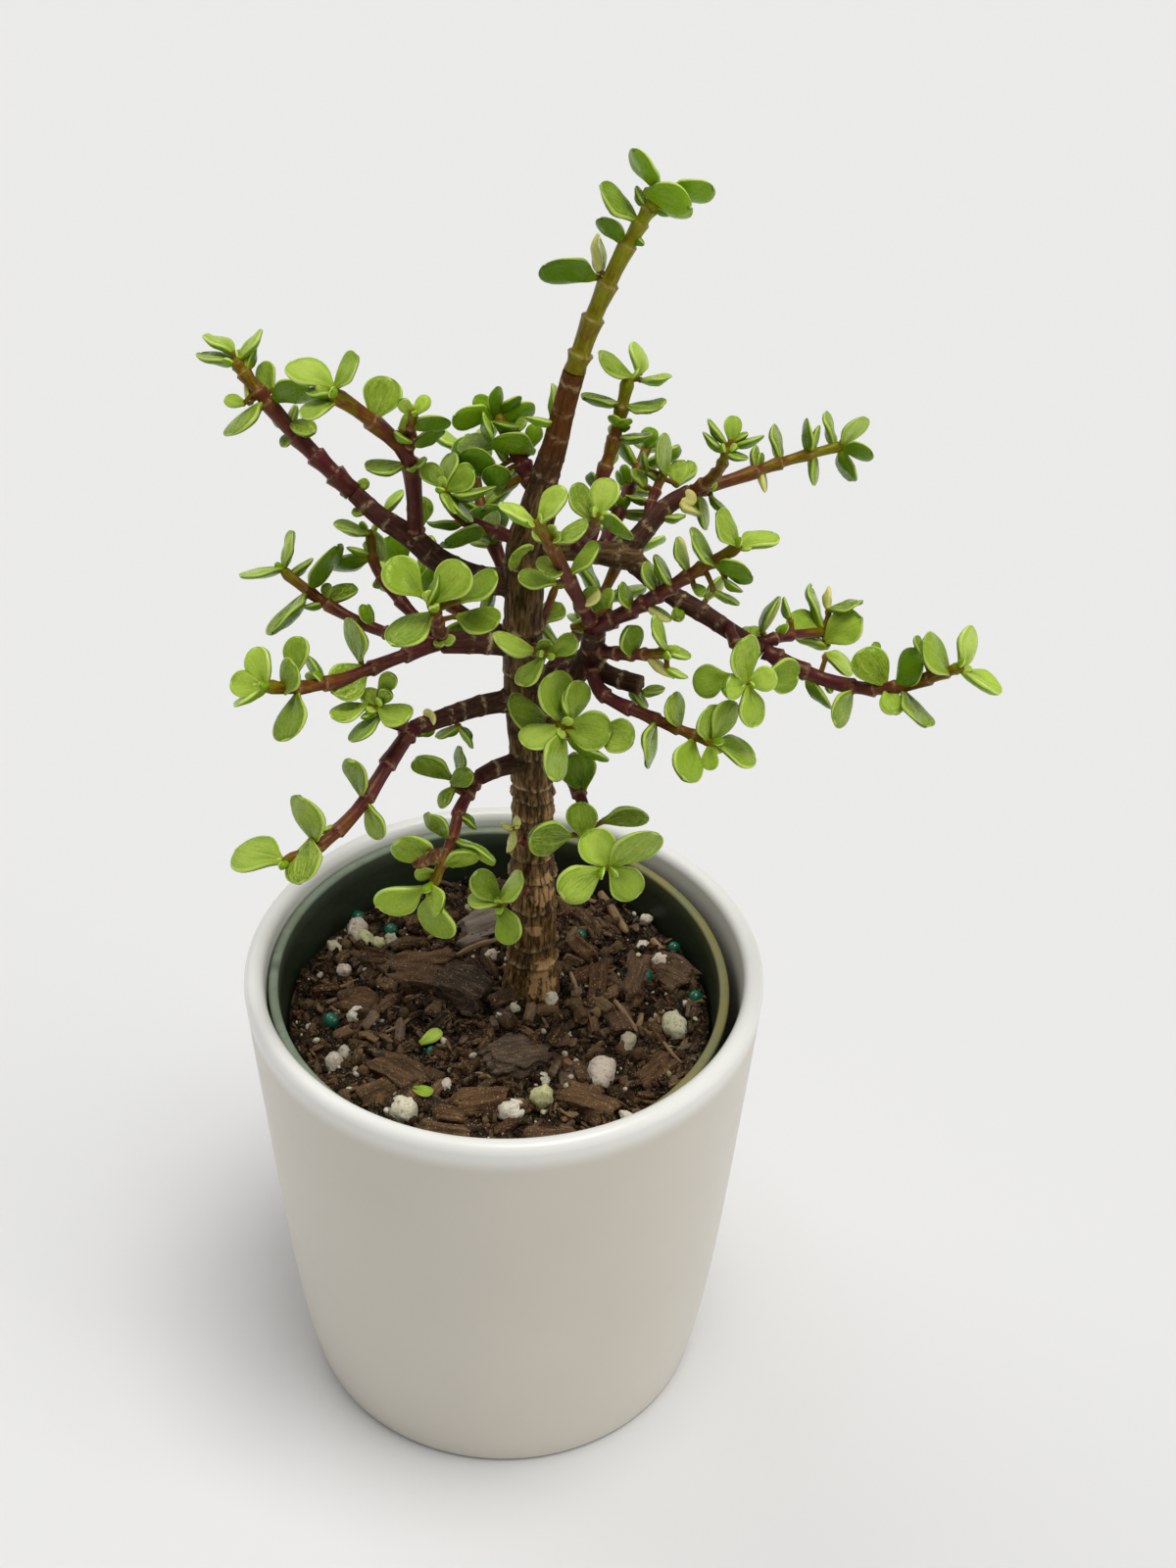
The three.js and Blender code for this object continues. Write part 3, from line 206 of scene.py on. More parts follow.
# ---------------------------------------------------------------- the leaves that the camera sees
# Each is given in pixels: root x and y, tip x and y, and the width that shows. A note says what is
# special about it: it shows its underside, its tip points away from or to the front, or its colour.
UNDER, AWAY, FRONT, PALE, CREAM, YELLOW = "under", "away", "front", "pale", "cream", "yellow"
MARKS = {
    "leader": [
        (608, 283, 556, 273, 22, UNDER), (612, 278, 610, 241, 16, CREAM), (634, 246, 613, 222, 18, UNDER),
        (650, 243, 657, 249, 8), (646, 224, 612, 190, 30), (658, 210, 649, 190, 12),
        (672, 192, 646, 153, 17, UNDER, PALE), (680, 198, 727, 193, 18, UNDER, PALE),
        (658, 195, 704, 213, 19, UNDER, PALE), (672, 215, 686, 220, 10), (568, 432, 567, 396, 16, PALE),
        (566, 432, 537, 428, 13, PALE),
    ],
    "left_high": [
        (240, 370, 204, 362, 22), (238, 360, 212, 340, 22, PALE), (244, 365, 268, 337, 18, PALE),
        (245, 382, 252, 356, 20), (255, 375, 260, 352, 8, AWAY), (266, 414, 233, 444, 22),
        (280, 404, 318, 396, 20, UNDER), (278, 398, 267, 371, 22), (250, 412, 229, 408, 16, PALE),
        (255, 412, 251, 390, 12, PALE), (295, 432, 322, 440, 20, FRONT), (292, 435, 277, 424, 8, PALE),
        (298, 432, 300, 413, 12, PALE), (296, 447, 286, 452, 14, AWAY), (362, 497, 377, 492, 12),
        (356, 505, 348, 503, 8), (372, 522, 359, 523, 10),
    ],
    "left_fork": [
        (340, 395, 298, 368, 36, PALE), (342, 392, 366, 362, 26, PALE), (380, 430, 398, 386, 40, FRONT),
        (345, 408, 306, 424, 26, FRONT), (342, 402, 312, 400, 14, AWAY), (411, 475, 373, 480, 22),
        (430, 538, 428, 506, 28, FRONT), (396, 518, 410, 500, 14, PALE),
    ],
    "left_fork_side": [
        (408, 440, 425, 422, 18, FRONT), (403, 442, 418, 452, 10, PALE), (425, 422, 437, 404, 16, PALE),
        (425, 436, 456, 428, 16, UNDER), (425, 455, 454, 440, 14, UNDER), (418, 421, 408, 408, 16),
    ],
    "crown_back": [
        (500, 428, 464, 424, 22, UNDER, PALE), (500, 425, 485, 404, 20, UNDER, PALE),
        (505, 425, 506, 395, 16, UNDER), (510, 415, 532, 405, 12, UNDER),
        (503, 430, 545, 421, 24, UNDER, PALE), (503, 453, 493, 421, 12, PALE),
        (528, 437, 503, 432, 12), (505, 456, 470, 451, 28), (545, 461, 506, 447, 20, UNDER, PALE),
        (517, 472, 506, 452, 14, PALE), (508, 504, 505, 475, 32, UNDER), (511, 500, 531, 482, 14),
        (540, 458, 548, 434, 20, UNDER, PALE), (528, 440, 534, 426, 12), (503, 490, 474, 460, 28, UNDER),
        (502, 484, 492, 464, 20, PALE),
    ],
    "crown_left": [
        (452, 497, 433, 474, 22), (453, 500, 462, 463, 20), (456, 500, 486, 482, 28, FRONT),
        (447, 497, 464, 524, 14, FRONT), (463, 508, 479, 533, 16), (465, 505, 503, 500, 16),
        (494, 543, 454, 552, 18, UNDER), (505, 540, 500, 525, 20), (470, 538, 440, 536, 10, AWAY),
    ],
    "left_middle": [
        (272, 700, 262, 660, 28, PALE), (270, 700, 236, 698, 30), (272, 702, 240, 717, 14, PALE),
        (290, 712, 300, 674, 28, FRONT), (305, 708, 291, 756, 33), (300, 690, 305, 649, 30, AWAY),
        (328, 691, 310, 668, 14, AWAY), (375, 680, 338, 708, 43, FRONT), (368, 674, 360, 632, 26),
    ],
    "left_middle_back": [
        (289, 578, 297, 541, 18, PALE), (289, 580, 245, 588, 16, PALE), (296, 588, 317, 570, 13),
        (317, 597, 346, 560, 16, UNDER), (312, 606, 279, 645, 24), (335, 615, 360, 597, 22),
        (335, 608, 334, 595, 12, AWAY), (330, 616, 308, 620, 10, AWAY), (368, 630, 376, 620, 6),
    ],
    "left_middle_rear": [
        (378, 545, 341, 534, 16), (381, 542, 393, 570, 16, AWAY), (372, 570, 336, 579, 16, UNDER),
        (372, 565, 374, 552, 10, PALE), (376, 566, 354, 558, 7, PALE), (384, 592, 384, 600, 9, AWAY),
    ],
    "left_rosette": [
        (431, 608, 393, 575, 42), (447, 612, 475, 575, 42), (436, 618, 448, 587, 14, FRONT),
        (442, 626, 398, 658, 38, FRONT), (470, 614, 508, 586, 30), (466, 629, 509, 638, 32, FRONT),
    ],
    "left_low": [
        (290, 880, 239, 866, 38), (318, 856, 305, 901, 35, FRONT), (322, 857, 308, 813, 32),
        (341, 842, 325, 848, 10, PALE), (367, 812, 360, 776, 22), (377, 820, 388, 857, 22, AWAY),
    ],
    "left_low_side": [
        (388, 705, 402, 688, 20), (385, 722, 374, 703, 22), (375, 720, 338, 733, 22),
        (385, 735, 358, 757, 22),
        (385, 722, 417, 735, 28), (380, 728, 368, 733, 8), (390, 716, 397, 704, 16),
        (445, 745, 425, 750, 9), (468, 742, 445, 752, 12), (441, 742, 437, 723, 13, YELLOW, FRONT),
        (469, 742, 482, 763, 9),
    ],
    "left_lowest": [
        (460, 794, 424, 772, 24), (469, 792, 470, 763, 13), (461, 800, 481, 787, 22, FRONT),
        (463, 804, 447, 822, 15), (457, 855, 438, 830, 20), (470, 832, 486, 846, 9), (443, 880, 405, 857, 34),
        (452, 882, 486, 870, 22), (465, 858, 507, 878, 12, PALE), (443, 890, 423, 893, 14),
        (432, 906, 387, 925, 36, PALE), (438, 903, 448, 933, 24, FRONT), (440, 912, 450, 957, 36),
    ],
    "low_rosette": [
        (508, 918, 484, 890, 28), (508, 920, 534, 894, 20, PALE), (508, 922, 477, 918, 20, PALE),
        (511, 925, 528, 962, 32),
    ],
    "right_low": [
        (583, 852, 540, 855, 36), (595, 855, 594, 818, 33), (615, 838, 660, 828, 24),
        (620, 885, 600, 846, 40, PALE), (622, 884, 668, 848, 38), (614, 885, 572, 915, 40),
        (624, 884, 650, 915, 38), (597, 808, 585, 768, 38),
    ],
    "front_rosette": [
        (572, 738, 562, 685, 38), (560, 738, 518, 722, 34), (572, 742, 531, 758, 30, PALE),
        (576, 742, 625, 750, 44, FRONT), (583, 735, 592, 694, 26), (580, 735, 577, 705, 8, PALE),
        (574, 748, 560, 795, 30), (610, 745, 647, 757, 38), (580, 752, 620, 777, 14),
    ],
    "front_twig": [
        (547, 666, 504, 652, 28, PALE), (548, 668, 564, 655, 20), (566, 668, 588, 650, 24),
        (553, 675, 530, 700, 22),
    ],
    "back_leaf": [(555, 635, 570, 616, 26), (583, 640, 603, 636, 16)],
    "right_middle": [
        (752, 557, 732, 524, 28), (755, 558, 789, 545, 26, PALE), (729, 577, 703, 545, 26),
        (733, 578, 766, 588, 16, UNDER), (702, 583, 690, 548, 20, CREAM), (668, 603, 657, 574, 18),
        (685, 597, 668, 569, 18), (645, 622, 632, 597, 18), (662, 622, 685, 634, 14, CREAM),
        (708, 598, 719, 606, 13), (720, 612, 738, 588, 16, CREAM), (728, 604, 755, 615, 12),
        (740, 592, 756, 604, 10), (690, 622, 692, 633, 14),
    ],
    "right_upright": [
        (547, 537, 509, 514, 20, PALE), (550, 535, 576, 497, 26, PALE), (563, 556, 550, 538, 26),
        (568, 553, 600, 535, 20), (556, 563, 519, 572, 24), (568, 595, 528, 590, 22, FRONT),
        (583, 585, 612, 556, 20), (590, 618, 612, 602, 18, CREAM), (620, 622, 620, 600, 14),
        (625, 640, 613, 636, 15), (607, 638, 630, 634, 12),
    ],
    "right_inner": [
        (645, 674, 641, 638, 28), (680, 662, 665, 630, 18), (672, 660, 705, 667, 15, PALE),
        (660, 668, 688, 693, 14, CREAM), (680, 682, 702, 692, 12, PALE), (656, 710, 677, 702, 13),
        (643, 705, 661, 722, 14),
    ],
    "right_under": [
        (693, 742, 686, 708, 26), (667, 738, 658, 780, 22), (705, 757, 697, 796, 36),
        (722, 757, 722, 720, 26, FRONT), (730, 752, 748, 715, 28), (728, 758, 770, 772, 30),
        (724, 764, 724, 786, 18, AWAY),
    ],
    "centre": [
        (612, 527, 622, 488, 30, PALE), (612, 527, 645, 547, 16, UNDER), (605, 533, 583, 495, 28),
    ],
    "right_back": [
        (859, 455, 880, 424, 22, PALE), (860, 458, 890, 463, 16, UNDER), (858, 462, 867, 490, 16, UNDER),
        (851, 456, 844, 421, 16), (829, 464, 833, 493, 16), (825, 462, 824, 427, 9, UNDER),
        (828, 462, 836, 434, 12, AWAY), (796, 470, 790, 433, 18), (776, 478, 782, 502, 13, CREAM),
        (770, 478, 771, 454, 12), (772, 476, 778, 462, 10, AWAY), (722, 503, 732, 493, 10),
        (725, 507, 742, 524, 10),
    ],
    "right_back_top": [
        (746, 450, 748, 424, 19), (740, 452, 722, 428, 12, CREAM), (736, 460, 717, 441, 12),
        (750, 455, 780, 446, 12), (740, 462, 763, 468, 13), (750, 450, 763, 441, 10),
    ],
    "right_crown": [
        (683, 485, 675, 444, 22), (690, 495, 700, 473, 28), (660, 480, 656, 461, 10),
        (672, 490, 660, 476, 13),
        (658, 498, 648, 478, 16), (692, 503, 710, 512, 18, YELLOW), (693, 512, 713, 526, 14, CREAM),
        (715, 508, 722, 538, 18, AWAY), (657, 511, 640, 505, 8), (677, 529, 699, 528, 10, PALE),
    ],
    "crown_right": [
        (645, 385, 610, 365, 26), (652, 382, 652, 350, 24, PALE), (655, 388, 684, 386, 15, PALE),
        (630, 412, 596, 405, 18), (641, 415, 677, 415, 20), (633, 436, 643, 436, 9), (636, 449, 664, 444, 13),
        (622, 475, 624, 452, 16, PALE),
    ],
    "right_front": [
        (981, 683, 993, 640, 28, PALE), (983, 685, 1021, 706, 22, PALE), (968, 688, 942, 652, 32),
        (915, 703, 938, 665, 26, UNDER), (903, 700, 880, 662, 38), (905, 703, 913, 728, 26, PALE),
        (922, 708, 945, 744, 26), (842, 668, 870, 683, 22, PALE), (868, 705, 852, 738, 25),
        (824, 690, 845, 722, 14, AWAY), (940, 668, 936, 648, 12, AWAY), (895, 668, 893, 655, 10, AWAY),
    ],
    "right_front_rosette": [
        (762, 697, 758, 651, 34), (761, 697, 738, 702, 26, PALE), (762, 697, 793, 690, 28, PALE),
        (763, 702, 768, 742, 32), (745, 690, 707, 698, 36, AWAY), (780, 690, 813, 688, 36, AWAY),
        (775, 660, 765, 640, 28, AWAY),
    ],
    "right_front_back": [
        (836, 650, 806, 628, 30), (842, 655, 878, 628, 36, PALE), (845, 660, 812, 647, 15, PALE),
        (840, 640, 824, 600, 18), (845, 622, 846, 598, 10, CREAM), (846, 622, 879, 615, 14),
        (806, 632, 799, 611, 10), (777, 645, 794, 609, 16, CREAM),
    ],
    "trunk_sprout": [(525, 846, 511, 840, 8), (525, 846, 528, 832, 8), (524, 848, 520, 870, 12)],
}

# ---------------------------------------------------------------- small helpers


def unit(v):
    return v / np.linalg.norm(v)


def square_to(v, axis):
    return unit(v - axis * (v @ axis))


def smooth_step(low, high, x):
    t = np.clip((np.asarray(x, float) - low) / (high - low), 0, 1)
    return t * t * (3 - 2 * t)


def srgb(red, green, blue):
    """A colour given as 0 to 255 on screen, as the four linear numbers that a node takes."""
    values = [c / 255 for c in (red, green, blue)]
    return (*[c / 12.92 if c <= 0.04045 else ((c + 0.055) / 1.055) ** 2.4 for c in values], 1.0)


def lattice(ix, iy, iz, seed):
    """A number from 0 to 1 that looks random, the same each time for a corner of the grid."""
    h = (ix * 374761393 + iy * 668265263 + iz * 1274126177 + seed * 974711) & 0xFFFFFFFF
    h = ((h ^ (h >> 13)) * 1103515245) & 0xFFFFFFFF
    h = ((h ^ (h >> 16)) * 668265263) & 0xFFFFFFFF
    return ((h ^ (h >> 15)) & 0xFFFF) / 65535.0


def noise(points, seed=0):
    """Smooth noise from 0 to 1 at each point, with features about one unit across."""
    points = np.asarray(points, float)
    corner = np.floor(points).astype(np.int64)
    f = points - corner
    f = f * f * (3 - 2 * f)
    total = np.zeros(len(points))
    for dx, dy, dz in np.ndindex(2, 2, 2):
        weight = (f[:, 0] if dx else 1 - f[:, 0]) * (f[:, 1] if dy else 1 - f[:, 1])
        weight = weight * (f[:, 2] if dz else 1 - f[:, 2])
        total += weight * lattice(corner[:, 0] + dx, corner[:, 1] + dy, corner[:, 2] + dz, seed)
    return total


def layered_noise(points, octaves=3, seed=0):
    """Noise with finer and fainter noise laid over it."""
    total, weight, amplitude = 0.0, 0.0, 1.0
    points = np.asarray(points, float)
    for octave in range(octaves):
        total = total + amplitude * noise(points * 2.03**octave, seed + 17 * octave)
        weight += amplitude
        amplitude *= 0.5
    return total / weight


def circle(sides):
    """The angles of points round a circle."""
    return 2 * np.pi * np.arange(sides) / sides


def ring_faces(rows, sides, start=0):
    """Quads between rings of points that follow one another."""
    faces = []
    for i in range(rows - 1):
        for k in range(sides):
            a, b = start + i * sides + k, start + i * sides + (k + 1) % sides
            faces.append((a, b, b + sides, a + sides))
    return faces


def columns(*values):
    """Arrays and single numbers side by side, with a row for each point."""
    return np.column_stack(np.broadcast_arrays(*values))


def closed_faces(rows, sides):
    """Faces of a skin: a point, then rings of points, then another point."""
    last = 1 + (rows - 1) * sides
    quads = ring_faces(rows, sides, 1)
    faces = []
    for k in range(sides):
        n = (k + 1) % sides
        faces += [(0, 1 + n, 1 + k), (last + k, last + n, last + sides), *quads[k::sides]]
    return faces


def set_attributes(mesh, attributes):
    """Stores a number or a vector for each point, for the materials to read."""
    for key, values in attributes.items():
        values = np.asarray(values, np.float32)
        vector = values.ndim == 2
        layer = mesh.attributes.new(key, "FLOAT_VECTOR" if vector else "FLOAT", "POINT")
        layer.data.foreach_set("vector" if vector else "value", values.ravel())


def show(thing):
    bpy.context.scene.collection.objects.link(thing)
    return thing


def add_mesh(name, points, faces, materials, attributes=None, face_materials=None, smooth=True):
    """A mesh object in the row frame from points in millimetres."""
    mesh = bpy.data.meshes.new(name)
    mesh.from_pydata((np.asarray(points, float) * MM).tolist(), [], [tuple(map(int, f)) for f in faces])
    set_attributes(mesh, attributes or {})
    for material in materials:
        mesh.materials.append(material)
    if face_materials is not None:
        mesh.polygons.foreach_set("material_index", np.asarray(face_materials, np.int32))
    mesh.polygons.foreach_set("use_smooth", np.full(len(mesh.polygons), smooth))
    mesh.update()
    return show(bpy.data.objects.new(name, mesh))


def evaluated_mesh(piece):
    """A copy of the piece's mesh with its modifiers applied."""
    graph = bpy.context.evaluated_depsgraph_get()
    return bpy.data.meshes.new_from_object(piece.evaluated_get(graph))


def dress(piece, slot, *nodes):
    """The piece rides on the row's one body and stands for CAD nodes. The slot is not used."""
    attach(piece, "root")
    if nodes:
        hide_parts(*nodes)


class Heap:
    """Gathers many small closed meshes into one piece. An attribute that one of them lacks is zero there."""

    def __init__(self):
        self.points, self.faces, self.attributes, self.face_materials, self.count = [], [], [], [], 0

    def add(self, points, faces, material=0, **attributes):
        """An attribute is a value for each point, or one number or vector for them all."""
        self.points.append(np.asarray(points, float))
        self.faces.extend(tuple(int(i) + self.count for i in face) for face in faces)
        self.face_materials.extend([material] * len(faces))
        self.count += len(points)
        facts = {key: np.asarray(values, float) for key, values in attributes.items()}
        for key, values in facts.items():
            if values.shape[:1] != (len(points),):
                facts[key] = np.broadcast_to(values, (len(points), *values.shape))
        self.attributes.append(facts)

    def mesh(self, name, materials):
        shapes = {key: values.shape[1:] for facts in self.attributes for key, values in facts.items()}
        attributes = {}
        for key, shape in shapes.items():
            blocks = [
                facts.get(key, np.zeros((len(points), *shape)))
                for points, facts in zip(self.points, self.attributes)
            ]
            attributes[key] = np.concatenate(blocks)
        points = np.concatenate(self.points)
        return add_mesh(name, points, self.faces, materials, attributes, self.face_materials)


# ---------------------------------------------------------------- material graphs


class Graph:
    """A material's node tree, built by short calls. An argument that is a socket is linked, and any other is
    set. Colours are given as screen values from 0 to 255."""

    def __init__(self, name):
        self.material = bpy.data.materials.new(name)
        self.material.use_nodes = True
        self.tree = self.material.node_tree
        self.tree.nodes.clear()

    def node(self, kind, inputs=None, **settings):
        made = self.tree.nodes.new(kind)
        for key, value in settings.items():
            setattr(made, key, value)
        for key, value in (inputs or {}).items():
            if isinstance(value, bpy.types.NodeSocket):
                self.tree.links.new(value, made.inputs[key])
            else:
                made.inputs[key].default_value = value
        return made

    def number(self, name):
        return self.node("ShaderNodeAttribute", attribute_name=name).outputs["Fac"]

    def vector(self, name):
        return self.node("ShaderNodeAttribute", attribute_name=name).outputs["Vector"]

    def parts(self, vector):
        return self.node("ShaderNodeSeparateXYZ", {"Vector": vector}).outputs

    def place(self, scale=(1, 1, 1)):
        """Object coordinates in millimetres, stretched by a scale."""
        inputs = {0: self.node("ShaderNodeTexCoord").outputs["Object"], 1: [s / MM for s in scale]}
        return self.node("ShaderNodeVectorMath", inputs, operation="MULTIPLY").outputs[0]

    def join(self, x, y, z):
        return self.node("ShaderNodeCombineXYZ", {"X": x, "Y": y, "Z": z}).outputs[0]

    def noise(self, vector, scale=1.0, detail=3.0, roughness=0.55, distortion=0.0):
        inputs = dict(Vector=vector, Scale=scale, Detail=detail, Roughness=roughness, Distortion=distortion)
        return self.node("ShaderNodeTexNoise", inputs).outputs["Fac"]

    def math(self, operation, a, b=0.0, clamp=False):
        return self.node("ShaderNodeMath", {0: a, 1: b}, operation=operation, use_clamp=clamp).outputs[0]

    def times(self, a, b):
        return self.math("MULTIPLY", a, b)

    def plus(self, a, b, clamp=False):
        return self.math("ADD", a, b, clamp)

    def less(self, a, b):
        return self.math("SUBTRACT", a, b)

    def span(self, value, low, high, to_low=0.0, to_high=1.0):
        """A smooth step, from one value at low to another at high."""
        inputs = {"Value": value, "From Min": low, "From Max": high, "To Min": to_low, "To Max": to_high}
        return self.node("ShaderNodeMapRange", inputs, interpolation_type="SMOOTHSTEP").outputs["Result"]

    def mix(self, factor, a, b):
        a, b = [srgb(*colour) if isinstance(colour, tuple) else colour for colour in (a, b)]
        return self.node("ShaderNodeMix", {0: factor, 6: a, 7: b}, data_type="RGBA").outputs[2]

    def lay(self, colour, share, most, new):
        """The new colour laid over another where share is high, and no thicker than most."""
        return self.mix(self.times(share, most), colour, new)

    def ramp(self, value, *stops):
        """Colours at places from 0 to 1."""
        made = self.node("ShaderNodeValToRGB", {"Fac": value})
        elements = made.color_ramp.elements
        while len(elements) < len(stops):
            elements.new(0.5)
        for element, (position, colour) in zip(elements, stops):
            element.position = position
            element.color = srgb(*colour)
        return made.outputs["Color"]

    def surface(self, colour, roughness, height=None, depth=0.0, strength=1.0, **more):
        """The finished shader. The height is a bump with a depth in millimetres."""
        inputs = {"Base Color": colour, "Roughness": roughness}
        inputs.update({key.replace("_", " "): value for key, value in more.items()})
        if height is not None:
            bump = {"Height": height, "Distance": depth * MM, "Strength": strength}
            inputs["Normal"] = self.node("ShaderNodeBump", bump).outputs["Normal"]
        shader = self.node("ShaderNodeBsdfPrincipled", inputs)
        output = self.node("ShaderNodeOutputMaterial")
        self.tree.links.new(shader.outputs[0], output.inputs[0])
        return self.material


GREEN_GLOSS, RED_GLOSS, TAN_GLOSS = (0.8, 1.0, 0.4, 1.0), (1.0, 0.8, 0.35, 1.0), (1.0, 0.85, 0.5, 1.0)


def leaf_material():
    """place holds (across, along, seed), kind holds (youth, mottle, cream), and rim and under are shares."""
    g = Graph("leaf")
    across, along, seed = g.parts(g.vector("place"))
    youth, mottle, cream = g.parts(g.vector("kind"))
    rim, under = g.number("rim"), g.number("under")
    tone = g.math("FRACT", g.times(seed, 7.31))
    dusty = g.math("FRACT", g.times(seed, 13.7))
    upper = g.less(1.0, under)

    cloud = g.noise(g.place(), 0.3, 2.0)
    old = g.mix(tone, (56, 92, 0), (118, 152, 14))
    young = g.mix(tone, (154, 196, 30), (184, 218, 66))
    colour = g.mix(youth, old, young)
    colour = g.mix(g.span(cloud, 0.3, 0.7, 0.0, 0.35), colour, g.mix(youth, (90, 130, 8), (194, 222, 84)))
    # the middle of the upper face is paler, with a faint bloom
    middle = g.times(g.span(rim, 0.95, 0.3), upper)
    veil = g.times(g.span(youth, 0, 1, 0.34, 0.55), g.span(dusty, 0, 1, 0.4, 1.5))
    colour = g.lay(colour, middle, veil, g.mix(youth, (146, 174, 48), (212, 232, 108)))
    # painted shade: a deeper green down the fold, towards the root, where the crease lies in shade
    fold = g.times(g.span(rim, 0.5, 0.0), g.span(along, 0.6, 0.2))
    colour = g.lay(colour, fold, 0.6, g.mix(youth, (48, 84, 0), (124, 160, 20)))
    # pale streaks that fan out from the leaf's root, and a fine net between them
    fan = g.join(g.times(across, 5.5), g.times(along, 1.5), g.times(seed, 37.0))
    streaks = g.span(g.noise(fan, 1.5, 4.0, 0.62, 0.7), 0.5, 0.62)
    net = g.span(g.noise(g.place(), 1.1, 3.0, 0.7, 1.4), 0.5, 0.6)
    pale = g.times(g.math("MAXIMUM", streaks, g.times(net, 0.7)), mottle)
    colour = g.lay(colour, g.times(pale, g.span(rim, 1.0, 0.72)), 0.65, (214, 224, 104))
    dark = g.span(g.noise(fan, 2.1, 3.0, 0.6, 0.8), 0.54, 0.68)
    colour = g.lay(colour, dark, g.times(mottle, 0.7), (44, 72, 2))
    # a plainer underside, painted shade on the deeper side, a painted highlight as a thin bright rim, and a
    # yellower root
    colour = g.lay(colour, under, 0.9, g.mix(youth, (74, 112, 2), (128, 170, 14)))
    # painted shade: the side below the rim is darker, as it faces away from the light
    colour = g.lay(colour, g.span(rim, 0.86, 0.97), under, g.mix(youth, (42, 70, 0), (92, 134, 4)))
    # painted highlight: a thin bright line where the upper face turns down to its side
    edge = g.times(g.span(rim, 0.78, 0.9), upper)
    colour = g.lay(colour, edge, 0.8, g.mix(youth, (196, 218, 92), (226, 242, 136)))
    colour = g.mix(g.span(along, 0.3, 0.0, 0.0, 0.7), colour, (150, 172, 24))
    colour = g.mix(cream, colour, (255, 244, 150))

    height = g.plus(g.noise(g.place(), 0.9, 3.0), g.times(streaks, 0.3))
    return g.surface(
        colour, g.span(g.noise(g.place(), 0.6, 2.0), 0.3, 0.7, 0.2, 0.36), height, 0.3, 0.6,
        Specular_IOR_Level=0.42, Specular_Tint=GREEN_GLOSS,
        Subsurface_Weight=0.06, Subsurface_Scale=0.0012, Subsurface_Radius=(0.6, 1.0, 0.25),
    )


def stem_material():
    """place holds (around, distance, seed), and age runs from 0 at the green tip to 1 at the woody end."""
    g = Graph("stem")
    around, distance, seed = g.parts(g.vector("place"))
    grain = g.noise(g.join(g.times(around, 5.0), g.times(distance, 0.25), g.times(seed, 31.0)), 1.3, 4.0)
    level = g.plus(g.number("age"), g.span(grain, 0.3, 0.7, -0.16, 0.16), clamp=True)
    colour = g.ramp(
        level, (0.0, (134, 144, 10)), (0.2, (120, 112, 4)), (0.42, (110, 60, 16)), (0.68, (88, 24, 44)),
        (1.0, (64, 30, 20)),
    )
    colour = g.lay(colour, g.span(g.noise(g.place(), 0.5, 3.0), 0.55, 0.7), 0.3, (110, 78, 40))
    scars = g.times(g.number("ring"), g.span(g.noise(g.place(), 0.9, 2.0), 0.38, 0.6))
    colour = g.lay(colour, scars, 0.6, (176, 140, 104))
    height = g.plus(grain, g.times(g.noise(g.place(), 2.2, 3.0), 0.5))
    return g.surface(colour, 0.36, height, 0.2, 0.6, Specular_IOR_Level=0.35, Specular_Tint=RED_GLOSS)


def bark_material():
    """along holds coordinates that follow the limb, and wood holds (rough bark, tan, cut). The rest are
    shares."""
    g = Graph("bark")
    along = g.vector("along")
    rough, tan, cut = g.parts(g.vector("wood"))
    fibres = g.noise(along, 1.3, 5.0, 0.62, 0.4)
    coarse = g.noise(along, 0.42, 3.0)
    bark = g.ramp(
        g.plus(g.times(fibres, 0.65), g.times(coarse, 0.35)),
        (0.3, (26, 16, 6)), (0.44, (88, 64, 34)), (0.58, (158, 122, 78)), (0.74, (226, 192, 140)),
    )
    twig = g.ramp(
        fibres, (0.3, (38, 22, 17)), (0.48, (66, 42, 33)), (0.64, (90, 64, 50)), (0.8, (130, 104, 82)),
    )
    # the trunk is darker above its first limbs
    bark = g.mix(g.span(g.parts(g.place())[2], 180, 215, 0.0, 0.4), bark, (38, 27, 18))
    colour = g.mix(rough, twig, bark)
    # the young ends of the limbs are smooth and red-brown, and the leader is amber
    grain = g.span(fibres, 0.3, 0.7)
    red, tawny = g.mix(grain, (54, 24, 24), (104, 50, 50)), g.mix(grain, (76, 36, 4), (118, 70, 20))
    colour = g.lay(colour, g.number("young"), 0.85, g.mix(g.number("amber"), red, tawny))
    patch = g.span(g.plus(tan, g.span(g.noise(g.place(), 0.5, 3.0), 0.3, 0.7, -0.25, 0.25)), 0.35, 0.55)
    colour = g.lay(colour, patch, 0.85, g.mix(fibres, (186, 128, 72), (246, 208, 152)))
    scars = g.times(g.number("ring"), g.span(g.noise(g.place(), 0.7, 3.0), 0.42, 0.6))
    colour = g.lay(colour, scars, 0.85, (218, 190, 144))
    # the cracks are darkened: partly the bark's own colour, partly painted shade in the fissures and painted
    # shadow under the trunk's rings
    colour = g.lay(colour, g.number("crack_and_shade"), 0.85, (24, 17, 12))
    colour = g.mix(cut, colour, g.mix(fibres, (66, 46, 32), (132, 102, 74)))
    height = g.plus(fibres, g.times(g.noise(g.place(), 1.8, 4.0), 0.5))
    return g.surface(
        colour, g.span(fibres, 0.3, 0.8, 0.55, 0.75), height, 0.5, 0.8,
        Specular_IOR_Level=0.22, Specular_Tint=TAN_GLOSS,
    )


